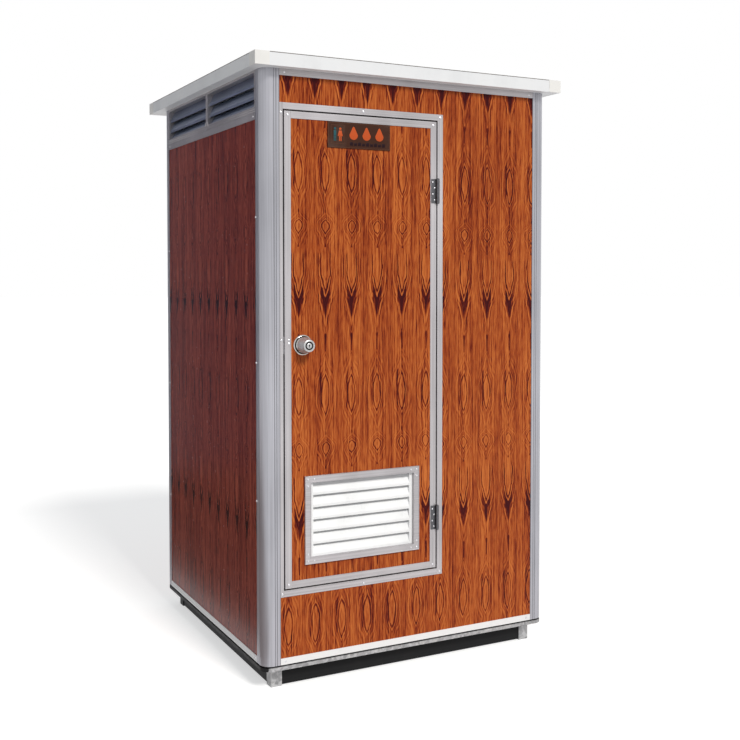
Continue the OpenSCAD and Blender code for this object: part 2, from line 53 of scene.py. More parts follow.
MM = 0.001
FACING = 0.95
SMOOTH_UNDER = 40.0
TURNED_SMOOTH_UNDER = 32.0
WELD_GAP = 0.01 * MM
PROFILE_EDGE = 0.5 * MM
BLACK = (0.012, 0.012, 0.013)
Point = tuple[float, float, float]
Colour = tuple[float, float, float]
Socket = bpy.types.NodeSocket
Value = float | Socket


class Axis(Enum):
    """A direction of the row frame."""

    X = 0
    Y = 1
    Z = 2


class Body(Enum):
    """The bodies of the cabin that a piece can ride on."""

    CABIN = "cabin"
    DOOR = "door"
    KNOB = "knob"


# ---- materials ----


class Sheet:
    """A material's node tree, with short calls for the nodes that the finishes use."""

    def __init__(self, name: str) -> None:
        """Starts an empty material.

        Args:
            name: The material's name.
        """
        self.material = bpy.data.materials.new(name)
        self.material.use_nodes = True
        self.tree = self.material.node_tree
        self.tree.nodes.clear()
        self.shader = self.tree.nodes.new("ShaderNodeBsdfPrincipled")
        output = self.tree.nodes.new("ShaderNodeOutputMaterial")
        self.tree.links.new(self.shader.outputs[0], output.inputs["Surface"])
        self.place = self.tree.nodes.new("ShaderNodeTexCoord").outputs["Object"]

    def feed(self, socket: Socket, value: Value | Colour) -> None:
        """Links a socket, or sets its own value.

        Args:
            socket: The input to feed.
            value: A socket to link, a number or a colour.
        """
        if isinstance(value, bpy.types.NodeSocket):
            self.tree.links.new(value, socket)
        elif isinstance(value, tuple) and socket.type == "RGBA":
            socket.default_value = (*value, 1.0)
        else:
            socket.default_value = value

    def axes(self) -> tuple[Socket, Socket, Socket]:
        """The object coordinates, one socket for each axis."""
        split = self.tree.nodes.new("ShaderNodeSeparateXYZ")
        self.feed(split.inputs[0], self.place)
        return split.outputs[0], split.outputs[1], split.outputs[2]

    def calc(self, work: str, first: Value, second: Value = 0.0, third: Value = 0.0) -> Socket:
        """One Math node.

        Args:
            work: The Math node's operation.
            first: Its first value.
            second: Its second value.
            third: Its third value, where the operation has one.

        Returns:
            The result's socket.
        """
        node = self.tree.nodes.new("ShaderNodeMath")
        node.operation = work
        for socket, value in zip(node.inputs, (first, second, third)):
            self.feed(socket, value)
        return node.outputs[0]

    def sway(self, value: Value, noise: Socket, amount: float) -> Socket:
        """Adds noise to a value, up and down about the noise's mean.

        Args:
            value: The value to disturb.
            noise: Noise from 0 to 1.
            amount: How far apart its lowest and highest ends push the value.

        Returns:
            The disturbed value.
        """
        return self.calc("MULTIPLY_ADD", self.calc("SUBTRACT", noise, 0.5), amount, value)

    def ease(self, value: Value, low: float, high: float) -> Socket:
        """A smooth step.

        Args:
            value: The value to read.
            low: Where the step gives 0.
            high: Where it gives 1, above or below low.

        Returns:
            The step's socket.
        """
        node = self.tree.nodes.new("ShaderNodeMapRange")
        node.interpolation_type = "SMOOTHSTEP"
        self.feed(node.inputs["Value"], value)
        node.inputs["From Min"].default_value = low
        node.inputs["From Max"].default_value = high
        return node.outputs["Result"]

    def noise(self, stretch: Point, detail: float = 3.0, rough: float = 0.5, seed: float = 0.0) -> Socket:
        """Noise on the object coordinates.

        Args:
            stretch: Waves for each metre along X, Y and Z.
            detail: Octaves of the noise.
            rough: How strong the small octaves are.
            seed: A shift that gives another noise of the same kind.

        Returns:
            The noise value's socket.
        """
        mapping = self.tree.nodes.new("ShaderNodeMapping")
        self.feed(mapping.inputs["Vector"], self.place)
        mapping.inputs["Scale"].default_value = stretch
        mapping.inputs["Location"].default_value = (seed, 1.7 * seed, 2.3 * seed)
        node = self.tree.nodes.new("ShaderNodeTexNoise")
        self.feed(node.inputs["Vector"], mapping.outputs[0])
        node.inputs["Scale"].default_value = 1.0
        node.inputs["Detail"].default_value = detail
        node.inputs["Roughness"].default_value = rough
        return node.outputs["Fac"]

    def cells(self, scale: float) -> Socket:
        """The random grey of Voronoi cells, scale cells to a metre."""
        node = self.tree.nodes.new("ShaderNodeTexVoronoi")
        self.feed(node.inputs["Vector"], self.place)
        node.inputs["Scale"].default_value = scale
        grey = self.tree.nodes.new("ShaderNodeRGBToBW")
        self.feed(grey.inputs[0], node.outputs["Color"])
        return grey.outputs[0]

    def ramp(self, value: Value, stops: Sequence[tuple[float, Colour]]) -> Socket:
        """A colour ramp.

        Args:
            value: Where on the ramp to read.
            stops: Places from 0 to 1 and their colours.

        Returns:
            The colour's socket.
        """
        node = self.tree.nodes.new("ShaderNodeValToRGB")
        self.feed(node.inputs[0], value)
        band = node.color_ramp.elements
        while len(band) < len(stops):
            band.new(0.5)
        for stop, (place, colour) in zip(band, stops):
            stop.position = place
            stop.color = (*colour, 1.0)
        return node.outputs[0]

    def blend(self, amount: Value, first: Socket | Colour, second: Socket | Colour) -> Socket:
        """A mix of two colours.

        Args:
            amount: How much of the second colour, from 0 to 1.
            first: The first colour.
            second: The second colour.

        Returns:
            The mixed colour's socket.
        """
        node = self.tree.nodes.new("ShaderNodeMix")
        node.data_type = "RGBA"
        self.feed(node.inputs["Factor"], amount)
        self.feed(node.inputs[6], first)
        self.feed(node.inputs[7], second)
        return node.outputs[2]

    def curve(self, value: Socket, points: Sequence[tuple[float, float]]) -> Socket:
        """A smooth curve through given points, read at a value from 0 to 1."""
        node = self.tree.nodes.new("ShaderNodeFloatCurve")
        self.feed(node.inputs["Value"], value)
        line = node.mapping.curves[0]
        while len(line.points) < len(points):
            line.points.new(0.5, 0.5)
        for point, place in zip(line.points, points):
            point.location = place
            point.handle_type = "AUTO_CLAMPED"
        node.mapping.update()
        return node.outputs[0]

    def bump(self, height: Socket, depth: float) -> None:
        """Gives the shader a bump.

        Args:
            height: The height's socket, from 0 to 1.
            depth: The height of 1, in metres.
        """
        node = self.tree.nodes.new("ShaderNodeBump")
        node.inputs["Strength"].default_value = 1.0
        node.inputs["Distance"].default_value = depth
        self.feed(node.inputs["Height"], height)
        self.feed(self.shader.inputs["Normal"], node.outputs[0])

    def finish(self, colour: Socket | Colour, roughness: Value, **fixed: float) -> bpy.types.Material:
        """Feeds the shader its colour and roughness, and sets its fixed sockets.

        Args:
            colour: The base colour.
            roughness: The roughness.
            fixed: Other sockets of the shader by name, with _ for a space.

        Returns:
            The finished material.
        """
        self.feed(self.shader.inputs["Base Color"], colour)
        self.feed(self.shader.inputs["Roughness"], roughness)
        for name, value in fixed.items():
            self.shader.inputs[name.replace("_", " ")].default_value = value
        return self.material


def shade(colour: Colour, amount: float) -> Colour:
    """A colour made lighter or darker by a factor."""
    return tuple(min(1.0, part * amount) for part in colour)


@dataclass(frozen=True)
class FilmTone:
    """The inks of a wood-grain film, from the palest streak to the heart of a figure."""

    pale: Colour
    middle: Colour
    deep: Colour
    heart: Colour


@dataclass(frozen=True)
class WoodFilm:
    """A glossy film with a printed grain: columns of flames, spindles and knots that repeat."""

    name: str
    tone: FilmTone
    across: Axis
    shift: float
    rise: float
    liner_axis: Axis
    liner_from: float
    liner_sign: int
    column: float = 99.3 * MM
    repeat: float = 759 * MM
    sheen: Colour = (0.34, 0.27, 0.42)
    gloss: float = 0.20
    wander: float = 10 * MM
    ring_unit: float = 50 * MM
    ring_spread: float = 40 * MM
    heart_unit: float = 16 * MM
    plain: float = 0.55
    streak_ink: float = 1.25
    fibre_ink: float = 1.10
    broad_ink: float = 0.50
    heart_ink: float = 0.50
    stroke_ink: float = 0.35
    edges: tuple[tuple[tuple[float, float], tuple[float, float], float], ...] = (
        ((-7.5 * MM, -5.0 * MM), (-1.0 * MM, -3.0 * MM), 0.22),
        ((-11.5 * MM, -9.5 * MM), (-6.5 * MM, -8.0 * MM), -0.26),
    )

    def make(self) -> bpy.types.Material:
        """Builds the film, with the white liner on the wall's inner side."""
        sheet = Sheet(self.name)
        spots = sheet.axes()
        along = spots[self.across.value]
        wander = sheet.noise((1.1, 1.1, 3.4), 1.0, 0.5, 4.0)
        lean = sheet.calc("MULTIPLY_ADD", wander, self.wander, self.shift)
        turn = sheet.calc("DIVIDE", sheet.calc("ADD", along, lean), self.column)
        offset = sheet.calc("MULTIPLY", sheet.calc("SUBTRACT", sheet.calc("FRACT", turn), 0.5), self.column)
        side = sheet.calc("ABSOLUTE", offset)
        drop = sheet.calc("DIVIDE", sheet.calc("SUBTRACT", self.rise, spots[2]), self.repeat)
        down = sheet.calc("FRACT", drop)
        colour = self.grain(sheet, offset, side, down)
        inner = self.inside(sheet, spots)
        colour = sheet.blend(inner, colour, (0.70, 0.71, 0.70))
        speckle = sheet.noise((60.0, 60.0, 60.0), 2.0)
        rough = sheet.calc("MULTIPLY_ADD", speckle, 0.10, 0.20)
        rough = sheet.calc("MULTIPLY_ADD", inner, 0.15, rough)
        sheet.bump(sheet.noise((2.2, 2.2, 1.3), 1.0, 0.4, 9.0), 1.2 * MM)
        sheet.shader.inputs["Specular Tint"].default_value = (*self.sheen, 1.0)
        return sheet.finish(colour, rough, Specular_IOR_Level=self.gloss)

    def grain(self, sheet: Sheet, offset: Socket, side: Socket, down: Socket) -> Socket:
        """The printed colour: rings about each column that open into eyes and close into flames.

        Args:
            sheet: The material's nodes.
            offset: Distance from the middle of the nearest column of figures, with its sign.
            side: The same distance without its sign.
            down: How far down the print's repeat the point is, from 0 to 1.

        Returns:
            The colour's socket.
        """
        tone = self.tone
        streak = sheet.noise((210.0, 210.0, 4.0), 3.0, 0.6, 1.0)
        broad = sheet.noise((34.0, 34.0, 1.2), 2.0, 0.5, 2.0)
        fibre = sheet.noise((520.0, 520.0, 26.0), 2.0, 0.6, 3.0)
        level = self.level(sheet, offset, down, streak)
        ink = sheet.curve(sheet.calc("DIVIDE", level, self.ring_unit), self.inks())
        ink = sheet.calc("SUBTRACT", ink, self.plain)
        value = sheet.calc("MULTIPLY_ADD", ink, sheet.curve(down, self.strengths()), self.plain)
        value = sheet.sway(value, streak, self.streak_ink)
        value = sheet.sway(value, fibre, self.fibre_ink)
        value = sheet.sway(value, broad, self.broad_ink)
        value = self.flame(sheet, value, level, side, down, streak)
        stroke = sheet.calc("SUBTRACT", 3.0 * MM, sheet.calc("ABSOLUTE", sheet.calc("ADD", offset, 17 * MM)))
        stroke = sheet.calc("MULTIPLY", sheet.ease(stroke, -1.5 * MM, 2 * MM), sheet.curve(down, self.flanks()))
        value = sheet.calc("MULTIPLY_ADD", stroke, -self.stroke_ink, value)
        stops = ((0.00, tone.heart), (0.24, tone.deep), (0.52, tone.middle), (0.80, tone.pale),
                 (1.00, shade(tone.pale, 1.12)))
        return sheet.ramp(value, stops)

    def level(self, sheet: Sheet, offset: Socket, down: Socket, streak: Socket) -> Socket:
        """Which ring of a figure a point lies in, as a distance from the figure's middle.

        Args:
            sheet: The material's nodes.
            offset: Distance from the middle of the nearest column, with its sign.
            down: How far down the print's repeat the point is.
            streak: The streaks' noise, which frays the rings.

        Returns:
            The distance's socket.
        """
        wobble = sheet.noise((42.0, 42.0, 17.0), 2.0, 0.5, 6.0)
        spread = sheet.calc("POWER", sheet.calc("DIVIDE", offset, self.ring_spread), 2.0)
        near = sheet.calc("EXPONENT", sheet.calc("MULTIPLY", spread, -1.0))
        rise = sheet.calc("MULTIPLY", sheet.curve(down, self.centres()), self.ring_unit)
        rounded = sheet.calc("SQRT", sheet.calc("MULTIPLY_ADD", offset, offset, (1.5 * MM) ** 2))
        level = sheet.calc("MULTIPLY_ADD", rise, near, rounded)
        return sheet.sway(sheet.sway(level, wobble, 11 * MM), streak, 4 * MM)

    def flame(self, sheet: Sheet, value: Socket, level: Socket, side: Socket, down: Socket,
              streak: Socket) -> Socket:
        """Prints the dark hearts, and the pale rim and thin line that follow the large ones.

        Args:
            sheet: The material's nodes.
            value: How pale the print is so far.
            level: The ring that the point lies in.
            side: Distance from the middle of the nearest column.
            down: How far down the print's repeat the point is.
            streak: The streaks' noise, which frays the edges.

        Returns:
            How pale the print is with them.
        """
        width = sheet.calc("MULTIPLY", sheet.curve(down, self.hearts()), self.heart_unit)
        depth = sheet.sway(sheet.calc("SUBTRACT", width, side), streak, 6 * MM)
        outside = sheet.ease(level, 23.5 * MM, 26.5 * MM)
        follow = sheet.calc("MULTIPLY", outside, sheet.curve(down, self.flames()))
        heart = sheet.calc("MULTIPLY", sheet.ease(depth, -1.5 * MM, 3.0 * MM), outside)
        value = sheet.calc("MULTIPLY_ADD", heart, -self.heart_ink, value)
        for low, high, strength in self.edges:
            band = sheet.calc("MULTIPLY", sheet.ease(depth, *low), sheet.ease(depth, *high))
            value = sheet.calc("MULTIPLY_ADD", sheet.calc("MULTIPLY", band, follow), strength, value)
        return value

    @staticmethod
    def inks() -> Sequence[tuple[float, float]]:
        """How pale each ring is, from the middle of a column outwards: 1 is 50 mm."""
        return (
            (0.00, 0.70), (0.11, 0.68), (0.14, 0.62), (0.175, 0.46), (0.21, 0.70), (0.31, 0.70), (0.345, 0.08),
            (0.395, 0.10), (0.435, 0.76), (0.47, 0.66), (0.51, 0.26), (0.55, 0.50), (0.60, 0.48), (0.64, 0.34),
            (0.69, 0.70), (0.74, 0.66), (0.78, 0.36), (0.83, 0.62), (0.88, 0.44), (0.94, 0.57), (1.00, 0.54),
        )

    @staticmethod
    def strengths() -> Sequence[tuple[float, float]]:
        """How strongly the rings print, down a column."""
        return (
            (0.000, 0.60), (0.060, 0.70), (0.198, 0.80), (0.300, 0.72), (0.374, 0.62), (0.440, 0.78),
            (0.515, 0.75), (0.528, 0.12), (0.545, 0.10), (0.568, 0.85), (0.700, 1.00), (0.850, 1.00),
            (0.930, 0.85), (1.000, 0.60),
        )

    @staticmethod
    def centres() -> Sequence[tuple[float, float]]:
        """The ring that a column's middle has reached, down one repeat: 1 is 50 mm."""
        return (
            (0.000, 0.84), (0.020, 0.73), (0.055, 0.59), (0.085, 0.46), (0.108, 0.36), (0.125, 0.26),
            (0.150, 0.17), (0.175, 0.11), (0.198, 0.09), (0.221, 0.11), (0.246, 0.17), (0.270, 0.26),
            (0.286, 0.36), (0.302, 0.45), (0.325, 0.53), (0.350, 0.59), (0.374, 0.64), (0.390, 0.57),
            (0.402, 0.45), (0.410, 0.36), (0.417, 0.25), (0.428, 0.15), (0.438, 0.11), (0.450, 0.15),
            (0.461, 0.24), (0.472, 0.36), (0.487, 0.45), (0.502, 0.53), (0.517, 0.59), (0.530, 0.65),
            (0.536, 0.10), (0.550, 0.02), (0.640, 0.00), (0.675, 0.10), (0.712, 0.24), (0.739, 0.36),
            (0.757, 0.45), (0.770, 0.52), (0.842, 0.66), (0.900, 0.73), (0.929, 0.80), (1.000, 0.84),
        )

    @staticmethod
    def hearts() -> Sequence[tuple[float, float]]:
        """Half widths of the dark hearts down a column: 1 is 16 mm."""
        return (
            (0.000, 0.14), (0.014, 0.00), (0.355, 0.00), (0.374, 0.18), (0.388, 0.00), (0.512, 0.00),
            (0.531, 0.20), (0.545, 0.00), (0.650, 0.00), (0.672, 1.12), (0.748, 1.12),
            (0.790, 0.74), (0.834, 0.30), (0.862, 0.06), (0.900, 0.00), (0.915, 0.00), (0.929, 0.26),
            (0.945, 0.20), (1.000, 0.14),
        )

    @staticmethod
    def flanks() -> Sequence[tuple[float, float]]:
        """How strong the dark stroke beside each eye is, down a column."""
        return ((0.000, 0.0), (0.085, 0.0), (0.110, 1.0), (0.240, 1.0), (0.275, 0.0), (1.000, 0.0))

    @staticmethod
    def flames() -> Sequence[tuple[float, float]]:
        """How strong the pale rim and the thin line outside each large heart are, down a column."""
        return ((0.000, 0.0), (0.735, 0.0), (0.758, 1.0), (0.860, 1.0), (0.905, 0.0), (1.000, 0.0))

    def inside(self, sheet: Sheet, spots: tuple[Socket, Socket, Socket]) -> Socket:
        """1 on the wall's inner side, and 0 on its film side."""
        depth = sheet.calc("SUBTRACT", spots[self.liner_axis.value], self.liner_from)
        return sheet.calc("GREATER_THAN", sheet.calc("MULTIPLY", depth, float(self.liner_sign)), 0.0)


@dataclass(frozen=True)
class Aluminium:
    """Satin anodised aluminium, with faint die lines along the profile."""

    name: str
    along: Axis
    colour: Colour = (0.46, 0.44, 0.455)
    roughness: float = 0.34
    metal: float = 0.62
    grooves: tuple[float, ...] = ()
    half_plan: tuple[float, float] = (0.0, 0.0)

    def painted_groove_shade(self, sheet: Sheet, colour: Socket) -> Socket:
        """Darkens the grooves down a corner post: painted shade in the recesses."""
        spots = sheet.axes()
        for half, spot in zip(self.half_plan, spots):
            edge = sheet.calc("SUBTRACT", half, sheet.calc("ABSOLUTE", spot))
            for groove in self.grooves:
                away = sheet.calc("ABSOLUTE", sheet.calc("SUBTRACT", edge, groove))
                # painted shade: a dark line along each groove, where shade falls inside it
                groove_shade_amount = sheet.ease(away, 1.7 * MM, 0.7 * MM)
                colour = sheet.blend(sheet.calc("MULTIPLY", groove_shade_amount, 0.62), colour, shade(self.colour, 0.30))
        return colour

    def make(self) -> bpy.types.Material:
        """Builds the metal."""
        sheet = Sheet(self.name)
        fine = [260.0, 260.0, 260.0]
        fine[self.along.value] = 1.5
        lines = sheet.noise(tuple(fine), 2.0, 0.6, 1.0)
        cloud = sheet.noise((5.0, 5.0, 2.5), 3.0, 0.5, 2.0)
        grey = sheet.calc("MULTIPLY_ADD", lines, 0.55, sheet.calc("MULTIPLY", cloud, 0.45))
        stops = ((0.34, shade(self.colour, 0.78)), (0.50, self.colour), (0.66, shade(self.colour, 1.18)))
        colour = sheet.ramp(grey, stops)
        colour = self.painted_groove_shade(sheet, colour)
        sheet.bump(lines, 0.05 * MM)
        rough = sheet.calc("MULTIPLY_ADD", cloud, 0.16, self.roughness - 0.08)
        return sheet.finish(colour, rough, Metallic=self.metal)


@dataclass(frozen=True)
class Coat:
    """A paint or powder coat with a slight peel and a film of dust."""

    name: str
    colour: Colour
    roughness: float = 0.40
    dust: float = 0.08
    peel: float = 0.04
    dust_colour: Colour = (0.42, 0.38, 0.33)
    shine: float = 0.5

    def make(self) -> bpy.types.Material:
        """Builds the coat."""
        sheet = Sheet(self.name)
        patches = sheet.noise((9.0, 9.0, 6.0), 5.0, 0.62, 2.0)
        fine = sheet.noise((420.0, 420.0, 420.0), 2.0, 0.5, 1.0)
        tone = sheet.ramp(patches, ((0.35, shade(self.colour, 0.95)), (0.62, shade(self.colour, 1.03))))
        dusty = sheet.calc("MULTIPLY", sheet.ease(patches, 0.48, 0.72), self.dust)
        colour = sheet.blend(dusty, tone, self.dust_colour)
        sheet.bump(fine, self.peel * MM)
        rough = sheet.calc("MULTIPLY_ADD", patches, 0.20, self.roughness - 0.10)
        return sheet.finish(colour, rough, Specular_IOR_Level=self.shine)


@dataclass(frozen=True)
class Galvanised:
    """Zinc-dipped steel with its spangle, and streaks of white rust."""

    name: str
    colour: Colour = (0.36, 0.36, 0.37)
    shade_black_from: float | None = None

    def paint(self, sheet: Sheet, colour: Socket, metal: Value) -> tuple[Socket, Value]:
        """Blacks out what lies behind the bare front edge: painted shade, standing for the dark under the cabin.

        Args:
            sheet: The material's nodes.
            colour: The bare metal's colour.
            metal: How metallic the bare metal is.

        Returns:
            The colour and how metallic it is, with the paint on.
        """
        if self.shade_black_from is None:
            return colour, metal
        ragged = sheet.noise((60.0, 60.0, 60.0), 3.0, 0.6, 8.0)
        depth = sheet.sway(sheet.axes()[1], ragged, 6 * MM)
        # painted shade: black behind the given depth, with a ragged edge
        shade_cover = sheet.ease(depth, self.shade_black_from - 0.5 * MM, self.shade_black_from + 0.5 * MM)
        return sheet.blend(shade_cover, colour, BLACK), sheet.calc("MULTIPLY_ADD", shade_cover, -metal, metal)

    def make(self) -> bpy.types.Material:
        """Builds the metal."""
        sheet = Sheet(self.name)
        spangle = sheet.cells(95.0)
        stain = sheet.noise((26.0, 26.0, 18.0), 5.0, 0.65, 3.0)
        tone = sheet.ramp(spangle, ((0.15, shade(self.colour, 0.72)), (0.85, shade(self.colour, 1.30))))
        colour = sheet.blend(sheet.calc("MULTIPLY", sheet.ease(stain, 0.46, 0.70), 0.55), tone, (0.62, 0.61, 0.60))
        sheet.bump(stain, 0.10 * MM)
        rough = sheet.calc("MULTIPLY_ADD", spangle, 0.18, 0.38)
        colour, metal = self.paint(sheet, colour, 0.55)
        if self.shade_black_from is not None:
            sheet.feed(sheet.shader.inputs["Metallic"], metal)
            return sheet.finish(colour, rough, Specular_IOR_Level=0.15)
        return sheet.finish(colour, rough, Metallic=metal)


@dataclass(frozen=True)
class Polished:
    """Plated or stainless metal, from mirror bright to brushed."""

    name: str
    colour: Colour
    roughness: float
    brush: Point = (30.0, 30.0, 30.0)

    def make(self) -> bpy.types.Material:
        """Builds the metal."""
        sheet = Sheet(self.name)
        hair = sheet.noise(self.brush, 3.0, 0.6, 1.0)
        smear = sheet.noise((45.0, 45.0, 45.0), 3.0, 0.5, 5.0)
        colour = sheet.ramp(hair, ((0.3, shade(self.colour, 0.88)), (0.7, shade(self.colour, 1.08))))
        sheet.bump(hair, 0.02 * MM)
        rough = sheet.calc("MULTIPLY_ADD", smear, 0.12, self.roughness)
        return sheet.finish(colour, rough, Metallic=1.0)


@dataclass(frozen=True)
class Finishes:
    """Every finish of the cabin, made once."""

    post: bpy.types.Material
    upright: bpy.types.Material
    level: bpy.types.Material
    depth: bpy.types.Material
    shaded_blade: bpy.types.Material
    white: bpy.types.Material
    roof: bpy.types.Material
    cap: bpy.types.Material
    plastic: bpy.types.Material
    zinc: bpy.types.Material
    plate: bpy.types.Material
    black: bpy.types.Material
    deck: bpy.types.Material
    rubber: bpy.types.Material
    chrome: bpy.types.Material
    steel: bpy.types.Material
    satin: bpy.types.Material
    bright: bpy.types.Material
    sign: bpy.types.Material
    sign_edge: bpy.types.Material
    sign_ink: bpy.types.Material
    sign_teal: bpy.types.Material
    sign_orange: bpy.types.Material
    seam: bpy.types.Material


def make_finishes() -> Finishes:
    """Makes every finish that isn't the film of one wall."""
    return Finishes(
        # the posts carry painted shade in their grooves
        post=Aluminium("aluminium_post", Axis.Z, (0.400, 0.400, 0.440), grooves=(42 * MM, 50 * MM, 61 * MM),
                       half_plan=(-CORNER.x, 0.5 * (FAR_CORNER.y - CORNER.y))).make(),
        upright=Aluminium("aluminium_upright", Axis.Z).make(),
        level=Aluminium("aluminium_level", Axis.X).make(),
        depth=Aluminium("aluminium_side", Axis.Y).make(),
        # the side louvre blades' dark blue-grey is painted shade under the eaves, blue from the sky
        shaded_blade=Aluminium("aluminium_blade", Axis.Y, (0.16, 0.19, 0.28), 0.42).make(),
        white=Coat("white_powder_coat", (0.80, 0.80, 0.81), 0.34).make(),
        roof=Coat("white_roof_coat", (0.78, 0.79, 0.81), 0.42, 0.10).make(),
        cap=Coat("cream_corner_cap", (0.80, 0.79, 0.77), 0.46, 0.10).make(),
        plastic=Coat("white_louvre", (0.84, 0.85, 0.86), 0.30, 0.04).make(),
        # painted shade: the rear feet and the base plate behind its front edge go black, for the dark under the cabin
        zinc=Galvanised("galvanised", shade_black_from=0.5 * (CORNER.y + FAR_CORNER.y)).make(),
        plate=Galvanised("base_plate_zinc", shade_black_from=CORNER.y + 6 * MM).make(),
        black=Coat("black_paint", BLACK, 0.50, 0.05, 0.08, (0.10, 0.09, 0.08), 0.12).make(),
        deck=Galvanised("floor_sheet", (0.30, 0.31, 0.32)).make(),
        rubber=Coat("black_rubber", (0.018, 0.018, 0.019), 0.66, 0.06, 0.10, (0.12, 0.11, 0.10), 0.15).make(),
        chrome=Polished("chrome", (0.50, 0.48, 0.46), 0.10).make(),
        steel=Polished("stainless", (0.12, 0.12, 0.13), 0.34, (20.0, 20.0, 240.0)).make(),
        satin=Aluminium("satin_knob", Axis.Y, (0.50, 0.50, 0.51), 0.38, 0.60).make(),
        bright=Polished("rivet_bright", (0.66, 0.66, 0.69), 0.24).make(),
        sign=Coat("sign_brown", (0.050, 0.018, 0.010), 0.35, 0.10, shine=0.12).make(),
        sign_edge=Coat("sign_border", (0.100, 0.040, 0.022), 0.38, 0.05, shine=0.12).make(),
        sign_ink=Coat("sign_dark_ink", (0.016, 0.005, 0.008), 0.40, 0.05, shine=0.1).make(),
        sign_teal=Coat("sign_teal", (0.02, 0.085, 0.10), 0.35, 0.05, shine=0.15).make(),
        sign_orange=Coat("sign_orange", (0.52, 0.085, 0.020), 0.35, 0.05, shine=0.15).make(),
        seam=Coat("edge_sealant", (0.10, 0.085, 0.075), 0.60, 0.20).make(),
    )


FILM_TONE = FilmTone((0.520, 0.145, 0.032), (0.350, 0.068, 0.014), (0.130, 0.013, 0.004), (0.046, 0.005, 0.004))
# Side-wall inks: the front film's print in darker, redder inks, painted shade for the walls that face away from the key
# lamp.
SIDE_SHADED_TONE = FilmTone((0.360, 0.078, 0.046), (0.200, 0.033, 0.023), (0.070, 0.008, 0.008), (0.020, 0.003, 0.004))


# ---- modelling ----


def clear_selection() -> None:
    """Leaves edit mode and deselects everything."""
    if bpy.context.object and bpy.context.object.mode != "OBJECT":
        bpy.ops.object.mode_set(mode="OBJECT")
    bpy.ops.object.select_all(action="DESELECT")


def settle(name: str) -> bpy.types.Object:
    """Names the active object and puts its place into its mesh."""
    made = bpy.context.object
    made.name = name
    made.data.name = name
    bpy.ops.object.transform_apply(location=True, rotation=True, scale=True)
    return made


def pick(made: bpy.types.Object) -> None:
    """Makes one object the only selected one."""
    clear_selection()
    made.select_set(True)
    bpy.context.view_layer.objects.active = made


def choose(made: bpy.types.Object, faces: Iterable[int] = (), edges: Iterable[int] = ()) -> None:
    """Selects faces and edges of an object by number, and leaves it in edit mode.

    Args:
        made: The object.
        faces: Numbers of the faces.
        edges: Numbers of the edges.
    """
    pick(made)
    bpy.ops.object.mode_set(mode="EDIT")
    bpy.ops.mesh.select_mode(type="FACE" if faces else "EDGE")
    bpy.ops.mesh.select_all(action="DESELECT")
    bpy.ops.object.mode_set(mode="OBJECT")
    for number in faces:
        made.data.polygons[number].select = True
    for number in edges:
        made.data.edges[number].select = True
    bpy.ops.object.mode_set(mode="EDIT")


def faces_towards(made: bpy.types.Object, way: Point) -> list[int]:
    """Numbers of the faces that look a given way."""
    aim = Vector(way)
    return [face.index for face in made.data.polygons if face.normal.dot(aim) > FACING]


def soften(made: bpy.types.Object, width: float, segments: int = 2, angle: float = 35.0) -> bpy.types.Object:
    """Rounds an object's sharp edges for good.

    Args:
        made: The object.
        width: The bevel's width, in metres.
        segments: How many faces go round an edge.
        angle: The least angle between faces that is rounded, in degrees.

    Returns:
        The same object.
    """
    pick(made)
    bevel = made.modifiers.new("round", "BEVEL")
    bevel.width = width
    bevel.segments = segments
    bevel.limit_method = "ANGLE"
    bevel.angle_limit = math.radians(angle)
    bpy.ops.object.modifier_apply(modifier=bevel.name)
    bpy.ops.object.shade_smooth_by_angle(angle=math.radians(SMOOTH_UNDER))
    return made


def block(name: str, low: Sequence[float], high: Sequence[float], radius: float = 0.0) -> bpy.types.Object:
    """A block between two corners, with its edges rounded.

    Args:
        name: The block's name.
        low: Its lowest corner.
        high: Its highest corner.
        radius: The width of its bevels, in metres.

    Returns:
        The block.
    """
    clear_selection()
    middle = [(a + b) / 2 for a, b in zip(low, high)]
    bpy.ops.mesh.primitive_cube_add(size=1.0, location=middle)
    bpy.context.object.scale = [b - a for a, b in zip(low, high)]
    made = settle(name)
    return soften(made, radius) if radius else made


def merge(name: str, parts: Sequence[bpy.types.Object]) -> bpy.types.Object:
    """Joins objects into one mesh."""
    clear_selection()
    for part in parts:
        part.select_set(True)
    bpy.context.view_layer.objects.active = parts[0]
    if len(parts) > 1:
        bpy.ops.object.join()
    made = bpy.context.object
    made.name = name
    made.data.name = name
    return made


def bars(name: str, runs: Iterable[tuple[Point, Point]], radius: float) -> bpy.types.Object:
    """Blocks between pairs of corners in millimetres, joined into one piece.

    Args:
        name: The piece's name.
        runs: The lowest and the highest corner of each block.
        radius: The width of their bevels, in metres.

    Returns:
        The piece.
    """
    return merge(name, [block("bar", at(*low), at(*high), radius) for low, high in runs])


def turned(name: str, profile: Sequence[tuple[float, float]], sides: int = 32) -> bpy.types.Object:
    """A turned piece about Z: a disc that is extruded from one ring of its profile to the next.

    Args:
        name: The piece's name.
        profile: Radius and height of each ring, from the bottom up, in metres.
        sides: How many sides go round.

    Returns:
        The closed piece, standing on the origin.
    """
    clear_selection()
    radius, height = profile[0]
    bpy.ops.mesh.primitive_circle_add(vertices=sides, radius=radius, fill_type="NGON", location=(0, 0, height))
    made = settle(name)
    bpy.ops.object.mode_set(mode="EDIT")
    bpy.ops.mesh.select_all(action="SELECT")
    for next_radius, next_height in profile[1:]:
        bpy.ops.mesh.extrude_region_move(TRANSFORM_OT_translate={"value": (0, 0, next_height - height)})
        ratio = next_radius / radius
        bpy.ops.transform.resize(value=(ratio, ratio, 1), center_override=(0, 0, next_height))
        radius, height = next_radius, next_height
    bpy.ops.mesh.select_all(action="SELECT")
    bpy.ops.mesh.normals_make_consistent(inside=False)
    bpy.ops.object.mode_set(mode="OBJECT")
    bpy.ops.object.shade_smooth_by_angle(angle=math.radians(TURNED_SMOOTH_UNDER))
    return made


